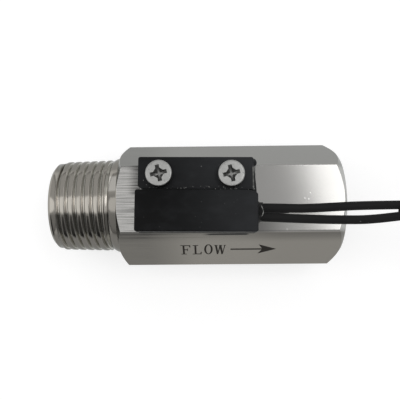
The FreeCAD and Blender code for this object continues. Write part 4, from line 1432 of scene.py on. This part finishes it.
# Where the room's brightness changes from front to rear and from sky to horizon, on a unit sphere
FRONT_TO_REAR = (-0.95, 0.30)
SKY_TO_HORIZON = (0.20, 0.05)
PANELS = (
    # name, middle, width along X, depth along Y, turn from above in degrees, brightness
    ("overhead_panel", (-0.820, -0.0375, 0.50), 1.560, 0.375, 0, 0.91),
    ("middle_panel", (0.0575, -0.0375, 0.51), 0.195, 0.375, 0, 0.11),
    ("graded_panel", (0.1436, 0.0676, 0.50), 0.0218, 0.22, 14, 0.40),
    ("bright_panel", (0.2150, 0.0795, 0.50), 0.12, 0.22, 14, 2.8),
    ("right_panel", (0.328, 0.20, 0.51), 0.40, 0.66, 14, 0.45),
)


def make_camera():
    camera = bpy.data.cameras.new("camera")
    camera.sensor_width = SENSOR_WIDTH
    camera.lens = settings().stage.lens
    camera.clip_start = CLIP_START
    viewer = bpy.data.objects.new("camera", camera)
    turn = Matrix.Identity(4)
    for axis, degrees in CAMERA_TURNS:
        turn = turn @ Matrix.Rotation(math.radians(degrees), 4, axis)
    viewer.matrix_world = Matrix.Translation(Vector(CAMERA_PLACE) * MM) @ turn
    bpy.context.scene.collection.objects.link(viewer)
    bpy.context.scene.camera = viewer


def shade_floor(start):
    """Pale table. A little light of its own for camera, mirror and glass rays evens it out to white."""
    stage = settings().stage
    place, _ = place_of(start)
    mottle = grain(place, 40, 2.0)
    rays = ("Is Camera Ray", "Is Glossy Ray", "Is Transmission Ray")
    seen, mirrored, through = start.node("ShaderNodeLightPath", output=rays)
    lift = at_most(seen + mirrored + through, 1.0) * stage.lift
    table = start.node(
        "ShaderNodeBsdfDiffuse", None, {"Color": tint(mottle, stage.floor, scaled(stage.floor, 0.985))}
    )
    glow = start.node("ShaderNodeEmission", None, {"Color": (1, 1, 1, 1), "Strength": lift})
    return start.node("ShaderNodeAddShader", None, {0: table, 1: glow})


def stage_sheet(name, corners, shade):
    """A flat sheet of the studio, which is no part of the object."""
    form = bmesh.new()
    form.faces.new([form.verts.new(corner) for corner in corners])
    sheet = piece_from(name, form)
    bpy.context.scene.collection.objects.link(sheet)
    sheet.data.materials.append(finish(name, shade))
    return sheet


def make_floor():
    corners = [(sx * FLOOR_REACH, sy * FLOOR_REACH, BODY_LOW.z) for sx, sy in FLOOR_SIDES]
    stage_sheet("floor", corners, shade_floor)


def shade_card(start):
    """Matt black card, greyer towards its upper edge."""
    place, (_, _, z) = place_of(start)
    grey = fade(z, CARD_PALER / MM, CARD_TOP / MM, 0.09, 0.25) + grain(place, 30, 2.0) * 0.02
    return start.node("ShaderNodeBsdfDiffuse", None, {"Color": tint(grey, (0, 0, 0), (1, 1, 1))})


def make_card():
    """Card in front of the thread, out of the camera's sight, which the thread mirrors as its dark side."""
    card = stage_sheet("dark_card", [(x, CARD_PLACE, z) for x, z in CARD_CORNERS], shade_card)
    card.visible_camera = False


def make_room():
    """A soft room that is darker in front of the object than behind it, and darker towards the horizon."""
    stage = settings().stage
    world = bpy.data.worlds.new("room")
    world.use_nodes = True
    world.node_tree.nodes.clear()
    bpy.context.scene.world = world
    start = Value(world.node_tree)
    way = start.node("ShaderNodeTexCoord", output="Generated")
    y, z = start.node("ShaderNodeSeparateXYZ", None, {"Vector": way}, ("Y", "Z"))
    sky = fade(y, *FRONT_TO_REAR, stage.sky_front, stage.sky_rear)
    low = fade(z, *SKY_TO_HORIZON)
    level = sky * (1 - low * (1 - stage.horizon))
    light = start.node("ShaderNodeBackground", None, {"Color": (1, 1, 1, 1), "Strength": level})
    start.node("ShaderNodeOutputWorld", None, {"Surface": light})


def make_panels():
    """Soft boxes overhead. The energy gives each the brightness that is written."""
    for name, middle, width, depth, turn, brightness in PANELS:
        light = bpy.data.lights.new(name, "AREA")
        light.shape = "RECTANGLE"
        light.size = width
        light.size_y = depth
        light.energy = brightness * math.pi * width * depth
        panel = bpy.data.objects.new(name, light)
        panel.location = middle
        panel.rotation_euler.z = math.radians(turn)
        panel.visible_camera = False
        bpy.context.scene.collection.objects.link(panel)


class FLOW_SWITCH_OT_stage(bpy.types.Operator):
    """Adds the camera, the floor and the studio light"""

    bl_idname = "flow_switch.stage"
    bl_label = "Stage"

    def execute(self, context):
        context.scene.view_settings.view_transform = "Standard"
        make_camera()
        make_floor()
        make_card()
        make_room()
        make_panels()
        return {"FINISHED"}


class FLOW_SWITCH_OT_leads(bpy.types.Operator):
    """Adds the wires, the sheathed cable with its hank, and the bare ends"""

    bl_idname = "flow_switch.leads"
    bl_label = "Wires and cable"

    def execute(self, context):
        make_leads()
        return {"FINISHED"}


class FLOW_SWITCH_OT_body(bpy.types.Operator):
    """Adds the hexagon body with its threads and bores"""

    bl_idname = "flow_switch.body"
    bl_label = "Hexagon body"

    def execute(self, context):
        make_body()
        return {"FINISHED"}


class FLOW_SWITCH_OT_marking(bpy.types.Operator):
    """Adds the etched flow marking"""

    bl_idname = "flow_switch.marking"
    bl_label = "Flow marking"

    def execute(self, context):
        make_marking()
        return {"FINISHED"}


class FLOW_SWITCH_OT_module(bpy.types.Operator):
    """Adds the reed module's housing, its flash and its resin"""

    bl_idname = "flow_switch.module"
    bl_label = "Reed module"

    def execute(self, context):
        make_housing()
        make_flash()
        make_resin()
        return {"FINISHED"}


class FLOW_SWITCH_OT_screws(bpy.types.Operator):
    """Adds the two pan-head screws"""

    bl_idname = "flow_switch.screws"
    bl_label = "Module screws"

    def execute(self, context):
        radius = settings().module.head / 2
        make_screw("screw_inlet", SCREWS_LOW.x + radius)
        make_screw("screw_outlet", SCREWS_HIGH.x - radius)
        return {"FINISHED"}


class FLOW_SWITCH_OT_valve(bpy.types.Operator):
    """Adds the spring and finishes the piston, its magnet and the retainer"""

    bl_idname = "flow_switch.valve"
    bl_label = "Valve"

    def execute(self, context):
        for node, slot in VALVE_NODES.items():
            soften(dress(node, slot), VALVE_EDGE)
        make_spring()
        return {"FINISHED"}


class FLOW_SWITCH_OT_reed(bpy.types.Operator):
    """Finishes the reed contact and the joints inside the resin"""

    bl_idname = "flow_switch.reed"
    bl_label = "Reed contact"

    def execute(self, context):
        for node, slot in REED_NODES.items():
            dress(node, slot)
        return {"FINISHED"}


OPERATORS = (
    FLOW_SWITCH_OT_stage, FLOW_SWITCH_OT_leads, FLOW_SWITCH_OT_body, FLOW_SWITCH_OT_marking,
    FLOW_SWITCH_OT_module, FLOW_SWITCH_OT_screws, FLOW_SWITCH_OT_valve, FLOW_SWITCH_OT_reed,
)


class FLOW_SWITCH_PT_panel(bpy.types.Panel):
    """Steps and settings of the flow switch"""

    bl_label = "Flow switch"
    bl_space_type = "VIEW_3D"
    bl_region_type = "UI"
    bl_category = "Flow switch"

    def draw(self, context):
        for operator in OPERATORS:
            self.layout.operator(operator.bl_idname)
        for group in ("body", "module", "leads", "valve", "stage"):
            box = self.layout.box()
            values = getattr(context.scene.flow_switch, group)
            for name in values.bl_rna.properties.keys():
                if name not in ("rna_type", "name"):
                    box.prop(values, name)


CLASSES = (
    BodySettings, ModuleSettings, LeadSettings, ValveSettings, StageSettings, SwitchSettings,
    *OPERATORS, FLOW_SWITCH_PT_panel,
)


def register():
    for cls in CLASSES:
        bpy.utils.register_class(cls)
    bpy.types.Scene.flow_switch = PointerProperty(type=SwitchSettings)


def unregister():
    del bpy.types.Scene.flow_switch
    for cls in reversed(CLASSES):
        bpy.utils.unregister_class(cls)


def main():
    register()
    bpy.ops.flow_switch.stage()
    bpy.ops.flow_switch.leads()
    bpy.ops.flow_switch.body()
    bpy.ops.flow_switch.marking()
    bpy.ops.flow_switch.module()
    bpy.ops.flow_switch.screws()
    bpy.ops.flow_switch.valve()
    bpy.ops.flow_switch.reed()


if __name__ == "__main__":
    main()
